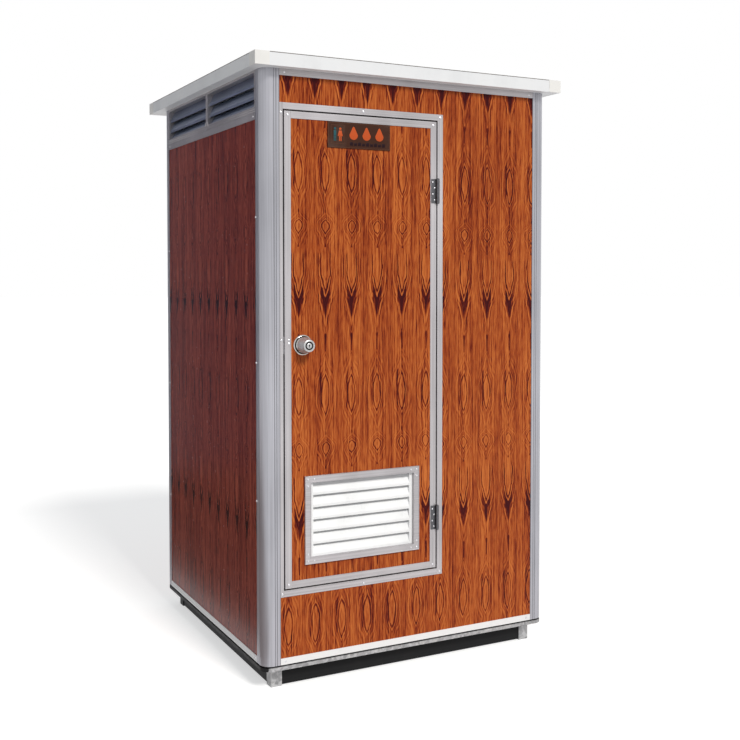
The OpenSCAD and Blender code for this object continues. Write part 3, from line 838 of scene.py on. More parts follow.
def stand(made: bpy.types.Object, spot: Point, way: Point) -> bpy.types.Object:
    """Turns a piece that points up so that it points a given way from a spot, and settles it.

    Args:
        made: A piece that stands on the origin.
        spot: Where its foot goes.
        way: Where its top points.

    Returns:
        The same piece.
    """
    pick(made)
    made.rotation_mode = "QUATERNION"
    made.rotation_quaternion = Vector(way).to_track_quat("Z", "Y")
    made.location = spot
    bpy.ops.object.transform_apply(location=True, rotation=True, scale=True)
    made.rotation_mode = "XYZ"
    return made


def repeat(name: str, master: bpy.types.Object, places: Sequence[tuple[Point, Point]]) -> bpy.types.Object:
    """Copies a piece that stands on the origin to several places, and joins the copies.

    Args:
        name: The joined piece's name.
        master: The piece, which is used up.
        places: The spot of each copy and the way it points.

    Returns:
        The joined copies.
    """
    copies = []
    for spot, way in places:
        pick(master)
        bpy.ops.object.duplicate()
        copies.append(stand(bpy.context.object, spot, way))
    pick(master)
    bpy.ops.object.delete()
    return merge(name, copies)


def dress(made: bpy.types.Object, finish: bpy.types.Material) -> None:
    """Gives a piece one finish all over."""
    made.data.materials.clear()
    made.data.materials.append(finish)


def hang(made: bpy.types.Object, body: Body, finish: bpy.types.Material) -> bpy.types.Object:
    """Dresses a new piece, puts it on its body and reports it.

    Args:
        made: The piece.
        body: The body that it rides on.
        finish: Its finish.

    Returns:
        The same piece.
    """
    dress(made, finish)
    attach(made, body.value)
    LOG.info("%s: %d faces, on %s", made.name, len(made.data.polygons), body.value)
    return made


def dress_node(node: str, finish: bpy.types.Material, edge: float = 0.0) -> None:
    """Gives a CAD node its finish, and rounds its edges a little in the render.

    Args:
        node: The node's name.
        finish: Its finish.
        edge: Width of the rounding, in metres, or 0 for none.
    """
    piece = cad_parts[node]
    dress(piece, finish)
    if edge:
        weld = piece.modifiers.new("weld", "WELD")
        weld.merge_threshold = WELD_GAP
        bevel = piece.modifiers.new("edge", "BEVEL")
        bevel.width = edge
        bevel.segments = 2
        bevel.limit_method = "ANGLE"
        bevel.angle_limit = math.radians(SMOOTH_UNDER)
        bevel.harden_normals = True
    LOG.info("%s dressed with %s", node, finish.name)


# ---- the cabin's sub-assemblies ----

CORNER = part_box("post_front_left")[0]
FAR_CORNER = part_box("post_back_right")[1]
WIDTH = (FAR_CORNER.x - CORNER.x) / MM
DEPTH = (FAR_CORNER.y - CORNER.y) / MM
LEFT, RIGHT, FRONT, BACK = (-1, 0, 0), (1, 0, 0), (0, -1, 0), (0, 1, 0)


def at(x: float, y: float, z: float) -> Point:
    """A place in metres.

    Args:
        x: Millimetres right of the front left corner.
        y: Millimetres behind it.
        z: Millimetres above the ground.

    Returns:
        The place.
    """
    return (CORNER.x + x * MM, CORNER.y + y * MM, z * MM)


def extent(node: str) -> tuple[Point, Point]:
    """A node's corners, in millimetres from the front left corner's ground."""
    low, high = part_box(node)
    return tuple(
        ((spot.x - CORNER.x) / MM, (spot.y - CORNER.y) / MM, spot.z / MM) for spot in (low, high)
    )


RIVET_HEAD = ((1.0, -0.05), (1.0, 0.10), (0.86, 0.36), (0.55, 0.52), (0.30, 0.54), (0.26, 0.44), (0.08, 0.42))


def rivets(name: str, places: Sequence[tuple[Point, Point]], body: Body, finish: bpy.types.Material,
           radius: float = 4.2 * MM) -> None:
    """Domed blind rivets, each with its drawn-in middle.

    Args:
        name: The piece's name.
        places: The spot of each rivet and the way it faces.
        body: The body that they ride on.
        finish: Their finish.
        radius: Radius of a head.
    """
    head = turned("rivet", [(radius * wide, radius * high) for wide, high in RIVET_HEAD], 14)
    hang(repeat(name, head, places), body, finish)


@dataclass
class Studio:
    """The camera, the soft lamps, the pale floor and what surrounds it."""

    eye: Point = (-1.8572, -3.8398, 1.4115)
    turn: float = 27.29
    dip: float = 2.0
    lens: float = 51.28
    shift: float = -0.0811
    fill: float = 0.38
    key_power: float = 2.45
    key_angle: float = 14.0
    key_from: Point = (0.10, -1.0, 0.86)
    flag_at: Point = (-2.35, 3.4, 1.5)
    flag_size: Point = (2.5, 3.4, 1.0)
    flag_colour: Colour = (0.05, 0.045, 0.09)
    cloth_at: Point = (-2.55, 1.1, 0.004)
    cloth_size: Point = (3.6, 4.6, 1.0)
    cloth_colour: Colour = (0.16, 0.07, 0.05)
    floor_radius: float = 60.0
    floor_white: float = 0.72
    floor_glow: float = 0.55

    def build(self) -> None:
        """Sets up everything that isn't the cabin."""
        scene = bpy.context.scene
        scene.view_settings.view_transform = "Standard"
        self.camera(scene)
        self.surroundings(scene)
        self.key()
        self.flag()
        self.floor()
        LOG.info("studio ready")

    def camera(self, scene: bpy.types.Scene) -> None:
        """Places the camera."""
        clear_selection()
        turned_by = (math.radians(90.0 - self.dip), 0.0, math.radians(-self.turn))
        bpy.ops.object.camera_add(location=self.eye, rotation=turned_by)
        view = bpy.context.object
        view.data.lens = self.lens
        view.data.shift_y = self.shift
        scene.camera = view

    def seen(self, tree: bpy.types.NodeTree) -> Socket:
        """1 for rays that show something to the eye, directly, in a gloss or through glass."""
        path = tree.nodes.new("ShaderNodeLightPath")
        total = path.outputs["Is Camera Ray"]
        for name in ("Is Glossy Ray", "Is Transmission Ray"):
            join = tree.nodes.new("ShaderNodeMath")
            join.operation = "MAXIMUM"
            tree.links.new(total, join.inputs[0])
            tree.links.new(path.outputs[name], join.inputs[1])
            total = join.outputs[0]
        return total

    def surroundings(self, scene: bpy.types.Scene) -> None:
        """A soft even sky that looks white."""
        world = bpy.data.worlds.new("soft_box")
        world.use_nodes = True
        scene.world = world
        tree = world.node_tree
        tree.nodes.clear()
        glow, white = (tree.nodes.new("ShaderNodeBackground") for _ in range(2))
        glow.inputs["Color"].default_value = (0.94, 0.97, 1.0, 1.0)
        glow.inputs["Strength"].default_value = self.fill
        white.inputs["Color"].default_value = (1.0, 1.0, 1.0, 1.0)
        mix, output = tree.nodes.new("ShaderNodeMixShader"), tree.nodes.new("ShaderNodeOutputWorld")
        tree.links.new(self.seen(tree), mix.inputs[0])
        tree.links.new(glow.outputs[0], mix.inputs[1])
        tree.links.new(white.outputs[0], mix.inputs[2])
        tree.links.new(mix.outputs[0], output.inputs["Surface"])

    def key(self) -> None:
        """A broad warm lamp, high in front of the door."""
        clear_selection()
        bpy.ops.object.light_add(type="SUN", location=(0.2, -6.0, 6.0))
        lamp = bpy.context.object
        lamp.data.energy = self.key_power
        lamp.data.angle = math.radians(self.key_angle)
        lamp.data.color = (1.0, 0.975, 0.93)
        lamp.rotation_euler = Vector(self.key_from).to_track_quat("Z", "Y").to_euler()

    def flag(self) -> None:
        """A dark board and a warm cloth on the left, which the glossy side wall mirrors and nobody sees."""
        clear_selection()
        bpy.ops.mesh.primitive_plane_add(size=1.0, location=self.flag_at, rotation=(math.radians(90.0), 0, 0))
        board = bpy.context.object
        board.scale = self.flag_size
        self.hide(settle("studio_flag"), self.flag_colour)
        clear_selection()
        bpy.ops.mesh.primitive_plane_add(size=1.0, location=self.cloth_at)
        bpy.context.object.scale = self.cloth_size
        self.hide(settle("studio_cloth"), self.cloth_colour)

    @staticmethod
    def hide(board: bpy.types.Object, colour: Colour) -> None:
        """Dresses a board that only reflections see.

        Args:
            board: The board.
            colour: Its colour.
        """
        board.visible_camera = False
        board.visible_shadow = False
        board.visible_diffuse = False
        dress(board, Coat(board.name, colour, 0.9, 0.0).make())

    def floor(self) -> None:
        """A wide pale floor that keeps the cabin's shadow."""
        clear_selection()
        bpy.ops.mesh.primitive_circle_add(vertices=96, radius=self.floor_radius, fill_type="NGON", location=(0, 0, 0))
        ground = settle("studio_floor")
        material = bpy.data.materials.new("studio_floor")
        material.use_nodes = True
        tree = material.node_tree
        tree.nodes.clear()
        matt, glow = tree.nodes.new("ShaderNodeBsdfDiffuse"), tree.nodes.new("ShaderNodeEmission")
        matt.inputs["Color"].default_value = (*[self.floor_white] * 3, 1.0)
        glow.inputs["Strength"].default_value = self.floor_glow
        both, pick_one = tree.nodes.new("ShaderNodeAddShader"), tree.nodes.new("ShaderNodeMixShader")
        output = tree.nodes.new("ShaderNodeOutputMaterial")
        tree.links.new(matt.outputs[0], both.inputs[0])
        tree.links.new(glow.outputs[0], both.inputs[1])
        tree.links.new(self.seen(tree), pick_one.inputs[0])
        tree.links.new(matt.outputs[0], pick_one.inputs[1])
        tree.links.new(both.outputs[0], pick_one.inputs[2])
        tree.links.new(pick_one.outputs[0], output.inputs["Surface"])
        dress(ground, material)


@dataclass
class Walls:
    """The film-faced sandwich panels, on the walls and in the door."""

    wall_column: float = 93.0
    door_column: float = 131.0
    wall_flame: float = 1884.0
    door_flame: float = 1905.0
    side_column: float = 60.0
    half: float = 27.0
    front_gloss: float = 0.20
    side_gloss: float = 0.11

    def build(self) -> None:
        """Dresses every panel with its own film."""
        front = ("front_wall_right", "front_wall_over_door", "front_wall_under_door")
        film = self.film("film_front", FILM_TONE, Axis.X, self.wall_column, self.wall_flame, Axis.Y, self.half, 1)
        for node in front:
            dress_node(node, film)
        dress_node("door_panel", self.film("film_door", FILM_TONE, Axis.X, self.door_column, self.door_flame,
                                           Axis.Y, 30.0, 1))
        dress_node("back_wall", self.film("film_back", FILM_TONE, Axis.X, self.wall_column, self.wall_flame,
                                          Axis.Y, DEPTH - self.half, -1))
        # The left and right walls take the darker side inks: painted shade.
        dress_node("left_wall", self.film("film_left", SIDE_SHADED_TONE, Axis.Y, self.side_column, self.wall_flame,
                                          Axis.X, self.half, 1))
        dress_node("right_wall", self.film("film_right", SIDE_SHADED_TONE, Axis.Y, self.side_column, self.wall_flame,
                                           Axis.X, WIDTH - self.half, -1))

    def film(self, name: str, tone: FilmTone, across: Axis, column: float, flame: float, liner_axis: Axis,
             liner_from: float, liner_sign: int) -> bpy.types.Material:
        """A film whose print is placed on one wall.

        Args:
            name: The material's name.
            tone: Its inks.
            across: The level axis along the wall.
            column: Middle of one column of figures, in millimetres from the front left corner.
            flame: Height of the top of one figure, in millimetres.
            liner_axis: The axis through the wall.
            liner_from: Where the white inner side starts on it, in millimetres from the corner.
            liner_sign: 1 if the inner side lies further along that axis, otherwise -1.

        Returns:
            The film.
        """
        width = WoodFilm.column
        middle = CORNER[across.value] + column * MM
        start = CORNER[liner_axis.value] + liner_from * MM
        shift = 0.5 * width - middle - 0.5 * WoodFilm.wander
        gloss = self.side_gloss if tone is SIDE_SHADED_TONE else self.front_gloss
        return WoodFilm(name, tone, across, shift, flame * MM, liner_axis, start, liner_sign, gloss=gloss).make()


@dataclass
class Profiles:
    """The corner posts and the tracks, with the rivets that hold them."""

    flange: float = 58.0
    side_heights: tuple[float, ...] = (1599.0, 1110.0, 642.0)
    back_heights: tuple[float, ...] = (1503.0, 950.0, 477.0)
    track_in: float = 80.0

    def build(self, finishes: Finishes) -> None:
        """Dresses the profiles and adds their rivets."""
        for node in ("post_front_left", "post_front_right", "post_back_left", "post_back_right"):
            dress_node(node, finishes.post)
        dress_node("bottom_tracks", finishes.white)
        dress_node("top_tracks", finishes.level)
        rivets("post_rivets", list(self.post_places()), Body.CABIN, finishes.bright)
        rivets("track_rivets", list(self.track_places()), Body.CABIN, finishes.bright, 3.6 * MM)

    def post_places(self) -> Iterable[tuple[Point, Point]]:
        """The rivets down the posts' flanges on the sides and the back."""
        for x, way in ((0.0, LEFT), (WIDTH, RIGHT)):
            for z in self.side_heights:
                yield at(x, self.flange, z), way
            for z in self.back_heights:
                yield at(x, DEPTH - self.flange, z), way
        for x in (self.flange, WIDTH - self.flange):
            for z in self.side_heights:
                yield at(x, DEPTH, z), BACK

    def track_places(self) -> Iterable[tuple[Point, Point]]:
        """The rivets at the ends of the tracks."""
        bottom = 99.0
        top_front = 2079.0
        top_side = 1936.0
        for x in (self.track_in, WIDTH - self.track_in):
            yield at(x, 0.0, bottom), FRONT
            yield at(x, DEPTH, bottom), BACK
            yield at(x, 0.0, top_front), FRONT
            yield at(x, DEPTH, top_front), BACK
        for y in (self.track_in, DEPTH - self.track_in):
            for x, way in ((0.0, LEFT), (WIDTH, RIGHT)):
                yield at(x, y, bottom), way
                yield at(x, y, top_side), way


@dataclass
class Base:
    """The feet, the rails, the base plate and the raised floor sheet."""

    foot: float = 40.0
    weld: float = 2.6
    tread_pitch: float = 46.0
    tread_margin: float = 34.0
    tread: tuple[float, float, float] = (26.0, 7.0, 1.4)
    tread_sunk: float = 0.2
    tread_top: tuple[float, float] = (0.62, 0.42)

    def build(self, finishes: Finishes) -> None:
        """Dresses the steelwork and adds its welds and tread."""
        dress_node("base_feet", finishes.zinc)
        dress_node("base_rails", finishes.black)
        dress_node("base_plate", finishes.plate)
        dress_node("floor_deck", finishes.deck)
        self.welds(finishes)
        self.treads(finishes)

    def welds(self, finishes: Finishes) -> None:
        """Weld beads between the feet and the base plate."""
        low, high = extent("base_feet")
        side = self.foot
        runs = []
        for x0 in (low[0], high[0] - side):
            for y0 in (low[1], high[1] - side):
                runs += self.bead_ring(x0, y0, high[2])
        beads = bars("foot_welds", runs, 0.38 * self.weld * MM)
        hang(beads, Body.CABIN, finishes.zinc)

    def bead_ring(self, x0: float, y0: float, top: float) -> list[tuple[Point, Point]]:
        """The corners of four beads round the top of one foot.

        Args:
            x0: The foot's left side, in millimetres.
            y0: The foot's front side.
            top: The foot's top.

        Returns:
            The lowest and the highest corner of each bead.
        """
        side, out = self.foot, 0.8 * self.weld
        ends = ((x0, y0), (x0 + side, y0), (x0 + side, y0 + side), (x0, y0 + side))
        return [
            ((min(ax, bx) - out, min(ay, by) - out, top - self.weld), (max(ax, bx) + out, max(ay, by) + out, top))
            for (ax, ay), (bx, by) in zip(ends, ends[1:] + ends[:1])
        ]

    def treads(self, finishes: Finishes) -> None:
        """Raised lozenges on the floor sheet, turned one way and then the other."""
        low, high = extent("floor_deck")
        length, width, rise = self.tread
        clear_selection()
        radius = 0.5 * length * MM
        bpy.ops.mesh.primitive_circle_add(vertices=8, radius=radius, fill_type="NGON", location=(0, 0, 0))
        lozenge = settle("lozenge")
        bpy.ops.object.mode_set(mode="EDIT")
        bpy.ops.mesh.select_all(action="SELECT")
        bpy.ops.transform.resize(value=(1, width / length, 1), center_override=(0, 0, 0))
        bpy.ops.transform.translate(value=(0, 0, -self.tread_sunk * MM))
        up = (rise + self.tread_sunk) * MM
        bpy.ops.mesh.extrude_region_move(TRANSFORM_OT_translate={"value": (0, 0, up)})
        bpy.ops.transform.resize(value=(*self.tread_top, 1), center_override=(0, 0, rise * MM))
        bpy.ops.mesh.select_all(action="SELECT")
        bpy.ops.mesh.normals_make_consistent(inside=False)
        bpy.ops.object.mode_set(mode="OBJECT")
        rows = self.rows(low, high)
        hang(self.scatter(lozenge, rows, high[2]), Body.CABIN, finishes.deck)

    def rows(self, low: Point, high: Point) -> list[tuple[float, float, bool]]:
        """Where the lozenges go, and which way each is turned."""
        margin = self.tread_margin
        across = int((high[0] - low[0] - 2 * margin) / self.tread_pitch)
        deep = int((high[1] - low[1] - 2 * margin) / self.tread_pitch)
        x0 = (low[0] + high[0] - across * self.tread_pitch) / 2
        y0 = (low[1] + high[1] - deep * self.tread_pitch) / 2
        return [
            (x0 + i * self.tread_pitch, y0 + j * self.tread_pitch, (i + j) % 2 == 0)
            for i in range(across + 1) for j in range(deep + 1)
        ]

    def scatter(self, lozenge: bpy.types.Object, rows: list[tuple[float, float, bool]],
                level: float) -> bpy.types.Object:
        """Copies one lozenge to every place and joins the copies.

        Args:
            lozenge: The lozenge, which is used up.
            rows: The places.
            level: The sheet's top, in millimetres.

        Returns:
            The joined tread.
        """
        copies = []
        for x, y, crossed in rows:
            twin = bpy.data.objects.new("tread", lozenge.data.copy())
            bpy.context.collection.objects.link(twin)
            twin.location = at(x, y, level)
            twin.rotation_euler = (0, 0, math.radians(45.0 if crossed else -45.0))
            copies.append(twin)
        bpy.data.objects.remove(lozenge)
        made = merge("floor_tread", copies)
        bpy.ops.object.transform_apply(location=True, rotation=True, scale=True)
        return made


@dataclass
class Roof:
    """The roof sheet in its fascia, with its corner caps."""

    bead_high: float = 2.2
    bead_proud: float = 0.7

    def build(self, finishes: Finishes) -> None:
        """Dresses the roof and adds its edge seal."""
        dress_node("roof_panel", finishes.roof)
        for side in ("front", "back", "left", "right"):
            dress_node(f"roof_fascia_{side}", finishes.roof)
        dress_node("roof_corner_caps", finishes.cap)
        self.seal(finishes)

    def seal(self, finishes: Finishes) -> None:
        """A thin dark line of sealant along the fascia's upper edge, between the caps."""
        low, high = extent("roof_fascia_front")[0], extent("roof_fascia_back")[1]
        cap = 51.0
        top, foot, out = high[2], high[2] - self.bead_high, self.bead_proud
        runs = (
            ((low[0] + cap, low[1] - out, foot), (high[0] - cap, low[1] + 0.5, top)),
            ((low[0] + cap, high[1] - 0.5, foot), (high[0] - cap, high[1] + out, top)),
            ((low[0] - out, low[1] + cap, foot), (low[0] + 0.5, high[1] - cap, top)),
            ((high[0] - 0.5, low[1] + cap, foot), (high[0] + out, high[1] - cap, top)),
        )
        hang(bars("roof_edge_seal", runs, 0.45 * MM), Body.CABIN, finishes.seam)


@dataclass
class SideLouvres:
    """The louvre bands under the eaves at both sides."""

    ribs: tuple[float, ...] = (5.0, 12.0)
    rib_half: float = 1.1
    rib_inset: float = 8.0

    def build(self, finishes: Finishes) -> None:
        """Dresses the bands and adds the ribs on their sills and the feet of their mullions."""
        for side in ("left", "right"):
            dress_node(f"louvre_frame_{side}", finishes.depth)
            dress_node(f"louvre_blades_{side}", finishes.shaded_blade)
            self.details(side, finishes)

    def details(self, side: str, finishes: Finishes) -> None:
        """Ribs and a mullion foot on one side.

        Args:
            side: left or right.
            finishes: The finishes.
        """
        low, high = extent(f"louvre_frame_{side}")
        face, out = (0.0, -1.0) if side == "left" else (WIDTH, 1.0)
        middle = DEPTH / 2
        parts = []
        for rise in self.ribs:
            foot, top = low[2] + rise - self.rib_half, low[2] + rise + self.rib_half
            ends = (low[1] + self.rib_inset, foot), (high[1] - self.rib_inset, top)
            parts.append(self.strip(face, out, *ends, 0.9))
        ends = (middle - 17, low[2] + 14), (middle + 17, low[2] + 30)
        parts.append(self.strip(face, out, *ends, 2.2))
        hang(merge(f"louvre_trim_{side}", parts), Body.CABIN, finishes.depth)

    def strip(self, face: float, out: float, low: tuple[float, float], high: tuple[float, float],
              proud: float) -> bpy.types.Object:
        """A raised strip on the side's face.

        Args:
            face: Where the face is, in millimetres.
            out: -1 on the left side and 1 on the right.
            low: The strip's lowest Y and Z.
            high: Its highest Y and Z.
            proud: How far it stands out.

        Returns:
            The strip.
        """
        xs = sorted((face - out * 0.6, face + out * proud))
        return block("strip", at(xs[0], *low), at(xs[1], *high), 0.5 * proud * MM)


@dataclass
class DoorFrame:
    """The frame round the door, with its seal, strike plate and rivets."""

    seal_thick: float = 3.4
    seal_wide: float = 8.0
    stop: float = 45.0
    latch_line: float = 68.0
    lock_rivet: float = 1187.0
    strike_face: float = 74.0

    def build(self, finishes: Finishes) -> None:
        """Dresses the frame and adds what is fixed to it."""
        dress_node("door_frame_head", finishes.level, PROFILE_EDGE)
        dress_node("door_frame_sill", finishes.level, PROFILE_EDGE)
        dress_node("door_frame_hinge_jamb", finishes.upright, PROFILE_EDGE)
        dress_node("door_frame_latch_jamb", finishes.upright, PROFILE_EDGE)
        self.seal(finishes)
        self.strike(finishes)
        low, high = extent("door_frame_latch_jamb")[0], extent("door_frame_hinge_jamb")[1]
        middle = (low[0] + high[0]) / 2
        near, line = 11, self.latch_line
        places = [(line, low[2] + near), (middle, low[2] + 8), (high[0] - near, low[2] + near),
                  (line, high[2] - 34), (high[0] - near, high[2] - near), (middle, high[2] - near),
                  (line, self.lock_rivet)]
        rivets("frame_rivets", [(at(x, 0.0, z), FRONT) for x, z in places], Body.CABIN, finishes.bright)

    def seal(self, finishes: Finishes) -> None:
        """A rubber bulb seal on the stop, all the way round the opening."""
        latch, hinge = extent("door_frame_latch_jamb"), extent("door_frame_hinge_jamb")
        head, sill = extent("door_frame_head"), extent("door_frame_sill")
        stop = self.stop
        x0, x1 = latch[1][0] - self.seal_wide, hinge[0][0] + self.seal_wide
        z0, z1 = sill[1][2] - self.seal_wide, head[0][2] + self.seal_wide
        y0, y1 = stop - self.seal_thick, stop + 0.2
        wide = self.seal_wide - 1.0
        runs = (
            ((x0, y0, z0), (x0 + wide, y1, z1)), ((x1 - wide, y0, z0), (x1, y1, z1)),
            ((x0 + wide - 1, y0, z0), (x1 - wide + 1, y1, z0 + wide)),
            ((x0 + wide - 1, y0, z1 - wide), (x1 - wide + 1, y1, z1)),
        )
        hang(bars("door_seal", runs, 1.5 * MM), Body.CABIN, finishes.rubber)

    def strike(self, finishes: Finishes) -> None:
        """A strike plate on the latch jamb, with the latch's pocket sunk into it."""
        plate = extent("latch_plate")
        face = self.strike_face
        z0, z1 = plate[0][2] - 4, plate[1][2] + 4
        made = block("strike_plate", at(face - 0.2, plate[0][1], z0), at(face + 0.8, plate[1][1], z1))
        choose(made, faces=faces_towards(made, RIGHT))
        bpy.ops.mesh.inset(thickness=7 * MM, depth=0)
        bpy.ops.mesh.inset(thickness=1 * MM, depth=-0.7 * MM)
        bpy.ops.object.mode_set(mode="OBJECT")
        hang(soften(made, 0.25 * MM), Body.CABIN, finishes.bright)


@dataclass
class DoorLeaf:
    """The door's profiles and the rivets at its corners and lock."""

    lock_rivets: tuple[float, float] = (1187.0, 1174.5)

    def build(self, finishes: Finishes) -> None:
        """Dresses the leaf's profiles and adds their rivets."""
        dress_node("door_stile_latch", finishes.upright, PROFILE_EDGE)
        dress_node("door_stile_hinge", finishes.upright, PROFILE_EDGE)
        dress_node("door_rail_top", finishes.level, PROFILE_EDGE)
        dress_node("door_rail_bottom", finishes.level, PROFILE_EDGE)
        low, high = extent("door_stile_latch")[0], extent("door_stile_hinge")[1]
        inset = 13.0
        spots = [(x, z) for x in (low[0] + inset, high[0] - inset) for z in (low[2] + inset, high[2] - inset)]
        spots += [(low[0] + 16, z) for z in self.lock_rivets]
        places = [(at(x, 0.0, z), FRONT) for x, z in spots]
        places += [(at(x, high[1], z), BACK) for x, z in spots[:4]]
        rivets("leaf_rivets", places, Body.DOOR, finishes.bright)


@dataclass
class DoorLouvre:
    """The louvre low in the door: a mitred frame round a white cassette."""

    face: float = 23.0

    def build(self, finishes: Finishes) -> None:
        """Dresses the louvre and adds its frame bead, slat ribs and rivets."""
        dress_node("door_louvre_frame", finishes.level, 0.4 * MM)
        dress_node("door_louvre_cassette", finishes.plastic)
        low, high = extent("door_louvre_frame")
        self.bead(low, high, finishes)
        self.ribs(finishes)
        near, far = 11.0, 34.0
        spots = []
        for x, way_x in ((low[0], 1), (high[0], -1)):
            for z, way_z in ((low[2], 1), (high[2], -1)):
                spots += [(x + way_x * near, z + way_z * near), (x + way_x * far, z + way_z * near),
                          (x + way_x * near, z + way_z * far)]
        rivets("louvre_rivets", [(at(x, low[1], z), FRONT) for x, z in spots], Body.DOOR, finishes.bright,
               3.3 * MM)

    def bead(self, low: Point, high: Point, finishes: Finishes) -> None:
        """Two raised beads round the frame's face, mitred at the corners.

        Args:
            low: The frame's lowest corner, in millimetres.
            high: Its highest corner.
            finishes: The finishes.
        """
        made = []
        for inset, wide in ((0.6, 2.4), (self.face - 4.2, 3.4)):
            ring = block("ring", at(low[0] + inset, low[1] - 1.0, low[2] + inset),
                         at(high[0] - inset, low[1] + 0.4, high[2] - inset))
            choose(ring, faces=faces_towards(ring, FRONT) + faces_towards(ring, BACK))
            bpy.ops.mesh.inset(thickness=wide * MM, depth=0)
            bpy.ops.mesh.bridge_edge_loops()
            bpy.ops.object.mode_set(mode="OBJECT")
            made.append(soften(ring, 0.4 * MM))
        hang(merge("louvre_frame_beads", made), Body.DOOR, finishes.level)

    def ribs(self, finishes: Finishes) -> None:
        """Fine ribs along the lip of each slat."""
        low, high = extent("door_louvre_cassette")
        slats, lap, edge, half = 6, 3.0, 12.0, 0.7
        pitch = (high[2] - low[2] - lap) / slats
        heights = [low[2] + slat * pitch + rise for slat in range(slats) for rise in (2.0, 5.6)]
        runs = [((low[0] + edge, low[1] - 0.5, z - half), (high[0] - edge, low[1] + 0.4, z + half)) for z in heights]
        hang(bars("louvre_slat_ribs", runs, 0.35 * MM), Body.DOOR, finishes.plastic)


@dataclass
class Lock:
    """The knob lock: dished roses, tapered knobs on one spindle, a keyhole outside and a turn button inside."""

    rose: tuple[tuple[float, float], ...] = (
        (35.0, 0.0), (35.0, 1.2), (34.2, 2.6), (31.6, 4.2), (28.6, 5.0), (26.8, 5.4), (25.6, 6.6), (24.2, 8.2),
        (22.4, 9.0), (18.6, 9.0), (17.6, 8.2), (17.0, 7.4), (6.6, 7.4),
    )
    knob: tuple[tuple[float, float], ...] = (
        (12.8, 9.4), (12.8, 13.2), (14.6, 14.2), (24.6, 14.6), (27.2, 15.6), (28.0, 18.0), (27.6, 21.0),
        (25.9, 30.0), (23.6, 40.0), (21.6, 48.0), (20.6, 51.6), (20.9, 52.8), (20.3, 54.6), (18.6, 55.8),
        (15.4, 56.0), (14.4, 55.2), (13.9, 53.8), (9.8, 53.4), (9.2, 54.6), (8.2, 55.2), (0.6, 55.3),
    )
    # A thin black ring on each rose round the knob's foot: painted shade for the gap between rose and knob.
    shade_ring: tuple[tuple[float, float], ...] = ((31.2, 4.1), (31.2, 4.7), (28.6, 5.35), (26.9, 5.75), (26.9, 5.1))
    button_at: float = 55.0
    nose: tuple[tuple[float, float], ...] = ((14.3, 53.0), (14.3, 54.3), (9.7, 54.3), (9.7, 53.0))

    def build(self, finishes: Finishes) -> None:
        """Builds the lock in place of its plain solids."""
        low, high = extent("lock_roses")
        x, z = (low[0] + high[0]) / 2, (low[2] + high[2]) / 2
        thick = max(height for _, height in self.rose)
        outer, inner = low[1] + thick, high[1] - thick
        sides = ((at(x, outer, z), FRONT), (at(x, inner, z), BACK))
        pairs = (
            ("lock_rose_pair", self.rose, 64, Body.DOOR, finishes.chrome, "lock_roses"),
            ("lock_knob_pair", self.knob, 64, Body.KNOB, finishes.satin, "knob_set"),
            # the black ring on each rose is painted shade
            ("lock_collar_pair", self.shade_ring, 48, Body.DOOR, finishes.rubber, None),
            ("lock_nose_pair", self.nose, 48, Body.KNOB, finishes.rubber, None),
        )
        for name, profile, count, body, finish, node in pairs:
            master = turned("master", [(radius * MM, height * MM) for radius, height in profile], count)
            made = hang(repeat(name, master, sides), body, finish)
            if node:
                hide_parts(node)
        self.keyhole(x, outer, z, finishes)
        self.button(x, inner, z, finishes)
        dress_node("latch_plate", finishes.bright)

    def keyhole(self, x: float, y: float, z: float, finishes: Finishes) -> None:
        """The dark key slot in the outer knob's nose.

        Args:
            x: The spindle's place across the door, in millimetres.
            y: Where the outer rose starts.
            z: The spindle's height.
            finishes: The finishes.
        """
        tip = y - self.knob[-1][1]
        slot = block("key_slot", at(x - 1.3, tip - 0.12, z - 5.2), at(x + 1.3, tip + 0.8, z + 5.2), 0.1 * MM)
        eye = turned("key_eye", ((2.6 * MM, 0.0), (2.6 * MM, 0.7 * MM), (2.2 * MM, 0.92 * MM)), 20)
        stand(eye, at(x, tip + 0.8, z + 1.2), FRONT)
        hang(merge("key_slot", [slot, eye]), Body.KNOB, finishes.rubber)

    def button(self, x: float, y: float, z: float, finishes: Finishes) -> None:
        """The small turn button in the inner knob's nose, which doesn't reach past the knob.

        Args:
            x: The spindle's place across the door, in millimetres.
            y: Where the inner rose starts.
            z: The spindle's height.
            finishes: The finishes.
        """
        tip = y + self.button_at
        bar = block("turn_button", at(x - 6.5, tip - 0.6, z - 1.6), at(x + 6.5, tip + 0.9, z + 1.6), 0.5 * MM)
        hang(bar, Body.KNOB, finishes.bright)


@dataclass
class Hinges:
    """Two steel butt hinges with bright rivets in the plates on the door."""

    size: float = 86.0
    rises: tuple[float, ...] = (11.0, 32.0, 54.0, 75.0)
    columns: tuple[float, float] = (12.5, 5.5)

    def build(self, finishes: Finishes) -> None:
        """Dresses the hinges and adds their rivets."""
        for node in ("hinge_frame_leaves", "hinge_pins", "hinge_door_leaves"):
            dress_node(node, finishes.steel)
        low, high = extent("hinge_door_leaves")
        places = []
        for foot in (low[2], high[2] - self.size):
            for step, rise in enumerate(self.rises):
                places.append((at(low[0] + self.columns[step % 2], -2.0, foot + rise), FRONT))
        rivets("hinge_rivets", places, Body.DOOR, finishes.bright, 3.3 * MM)


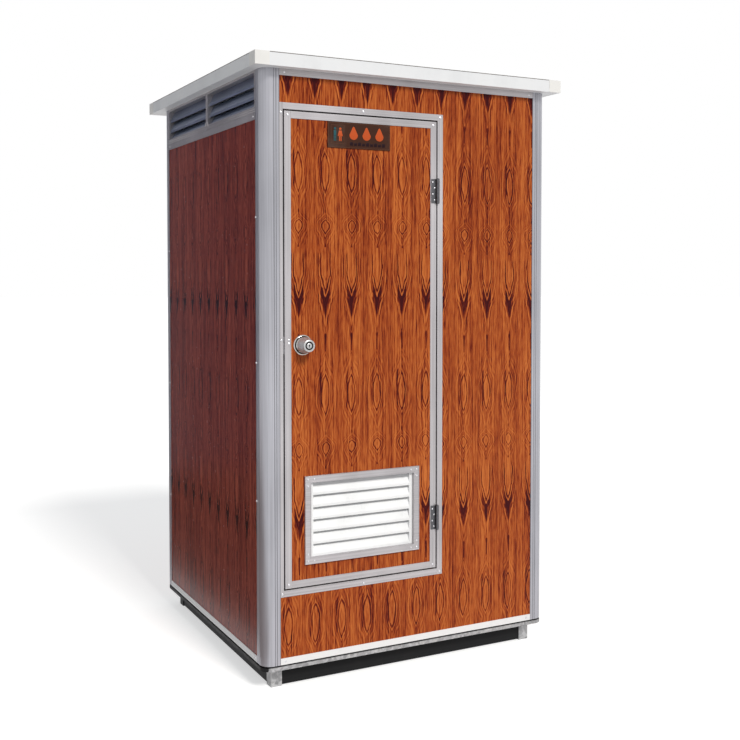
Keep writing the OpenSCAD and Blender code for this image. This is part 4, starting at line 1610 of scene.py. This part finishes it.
@dataclass
class Sign:
    """A small plate over the door, with plain washroom pictograms."""

    lift: float = 0.35

    def build(self, finishes: Finishes) -> None:
        """Dresses the plate and lays its shapes on it."""
        dress_node("door_sign", finishes.sign)
        low, high = extent("door_sign")
        self.ring("sign_border", (low[0] + 2, low[2] + 2, high[0] - 2, high[2] - 2), 1.6, finishes.sign_edge)
        box = (low[0] + 12, low[2] + 14, low[0] + 62, high[2] - 10)
        self.ring("sign_field", box, 1.4, finishes.sign_edge)
        middle = (box[1] + box[3]) / 2
        self.figure("sign_figure_left", box[0] + 15, middle, finishes.sign_teal, False)
        self.figure("sign_figure_right", box[0] + 35, middle, finishes.sign_orange, True)
        self.drops(low, finishes)
        bars = [self.slab(low[0] + 84 + 15.5 * i, low[2] + 10, 11.5, 12.0 - 3.0 * (i % 2), 0.3) for i in range(9)]
        hang(merge("sign_dark_marks", bars), Body.DOOR, finishes.sign_ink)

    def slab(self, x: float, z: float, wide: float, high: float, lift: float) -> bpy.types.Object:
        """A thin raised slab on the plate.

        Args:
            x: Its left edge, in millimetres.
            z: Its lower edge.
            wide: Its width.
            high: Its height.
            lift: How far it stands out.

        Returns:
            The slab.
        """
        return block("slab", at(x, -1.0 - lift, z), at(x + wide, -0.9, z + high), 0.12 * MM)

    def ring(self, name: str, box: tuple[float, float, float, float], wide: float,
             finish: bpy.types.Material) -> None:
        """A narrow raised outline on the plate.

        Args:
            name: The piece's name.
            box: Its left, lower, right and upper edges, in millimetres.
            wide: Width of its line.
            finish: Its colour.
        """
        made = block(name, at(box[0], -1.35, box[1]), at(box[2], -0.8, box[3]))
        choose(made, faces=faces_towards(made, FRONT) + faces_towards(made, BACK))
        bpy.ops.mesh.inset(thickness=wide * MM, depth=0)
        bpy.ops.mesh.bridge_edge_loops()
        bpy.ops.object.mode_set(mode="OBJECT")
        hang(soften(made, 0.12 * MM), Body.DOOR, finish)

    def figure(self, name: str, x: float, z: float, finish: bpy.types.Material, skirt: bool) -> None:
        """A plain standing figure: a round head over a straight or flared body.

        Args:
            name: The piece's name.
            x: Its middle, in millimetres.
            z: Its middle's height.
            finish: Its colour.
            skirt: Whether its body flares.
        """
        face = -1.25
        lift = self.lift
        head = turned("head", ((4.4 * MM, 0.0), (4.4 * MM, lift * MM), (3.9 * MM, (lift + 0.12) * MM)), 24)
        stand(head, at(x, face, z + 19), FRONT)
        trunk = block("trunk", at(x - 5, face - lift, z - 6), at(x + 5, face + 0.1, z + 13))
        if skirt:
            choose(trunk, faces=faces_towards(trunk, (0, 0, -1)))
            bpy.ops.transform.resize(value=(1.9, 1, 1), center_override=at(x, face, z - 6))
            bpy.ops.object.mode_set(mode="OBJECT")
        soften(trunk, 0.12 * MM)
        legs = [block("leg", at(x + side * 2.8 - 1.9, face - lift, z - 23), at(x + side * 2.8 + 1.9, face + 0.1, z - 5),
                      0.12 * MM) for side in (-1, 1)]
        hang(merge(name, [head, trunk, *legs]), Body.DOOR, finish)

    def drops(self, low: Point, finishes: Finishes) -> None:
        """Three plain water drops in a row.

        Args:
            low: The plate's lowest corner, in millimetres.
            finishes: The finishes.
        """
        parts = []
        for i in range(3):
            x = low[0] + 98 + 50 * i
            z = low[2] + 46
            size, lift = 16.0 * MM, self.lift * MM
            drop = turned("drop", ((size, 0.0), (size, lift), (0.94 * size, lift + 0.2 * MM)), 32)
            stand(drop, at(x, -0.95, z), FRONT)
            middle_x = at(x, 0.0, z)[0]
            for corner in drop.data.vertices:
                above = max(0.0, (corner.co.z - z * MM) / size)
                corner.co.z += above ** 3 * 13 * MM
                corner.co.x = middle_x + (corner.co.x - middle_x) * (1.0 - 0.35 * above)
            parts.append(drop)
        hang(merge("sign_drops", parts), Body.DOOR, finishes.sign_orange)


@dataclass
class Cabin:
    """The whole cabin, sub-assembly by sub-assembly."""

    studio: Studio = field(default_factory=Studio)
    walls: Walls = field(default_factory=Walls)
    profiles: Profiles = field(default_factory=Profiles)
    base: Base = field(default_factory=Base)
    roof: Roof = field(default_factory=Roof)
    side_louvres: SideLouvres = field(default_factory=SideLouvres)
    door_frame: DoorFrame = field(default_factory=DoorFrame)
    door_leaf: DoorLeaf = field(default_factory=DoorLeaf)
    door_louvre: DoorLouvre = field(default_factory=DoorLouvre)
    lock: Lock = field(default_factory=Lock)
    hinges: Hinges = field(default_factory=Hinges)
    sign: Sign = field(default_factory=Sign)

    def build(self) -> None:
        """Builds everything in order."""
        self.studio.build()
        finishes = make_finishes()
        self.walls.build()
        for part in (self.profiles, self.base, self.roof, self.side_louvres, self.door_frame, self.door_leaf,
                     self.door_louvre, self.lock, self.hinges, self.sign):
            part.build(finishes)
            LOG.info("%s done", type(part).__name__)


def main() -> None:
    """Builds the cabin."""
    Cabin().build()
    clear_selection()


if __name__ == "__main__":
    main()
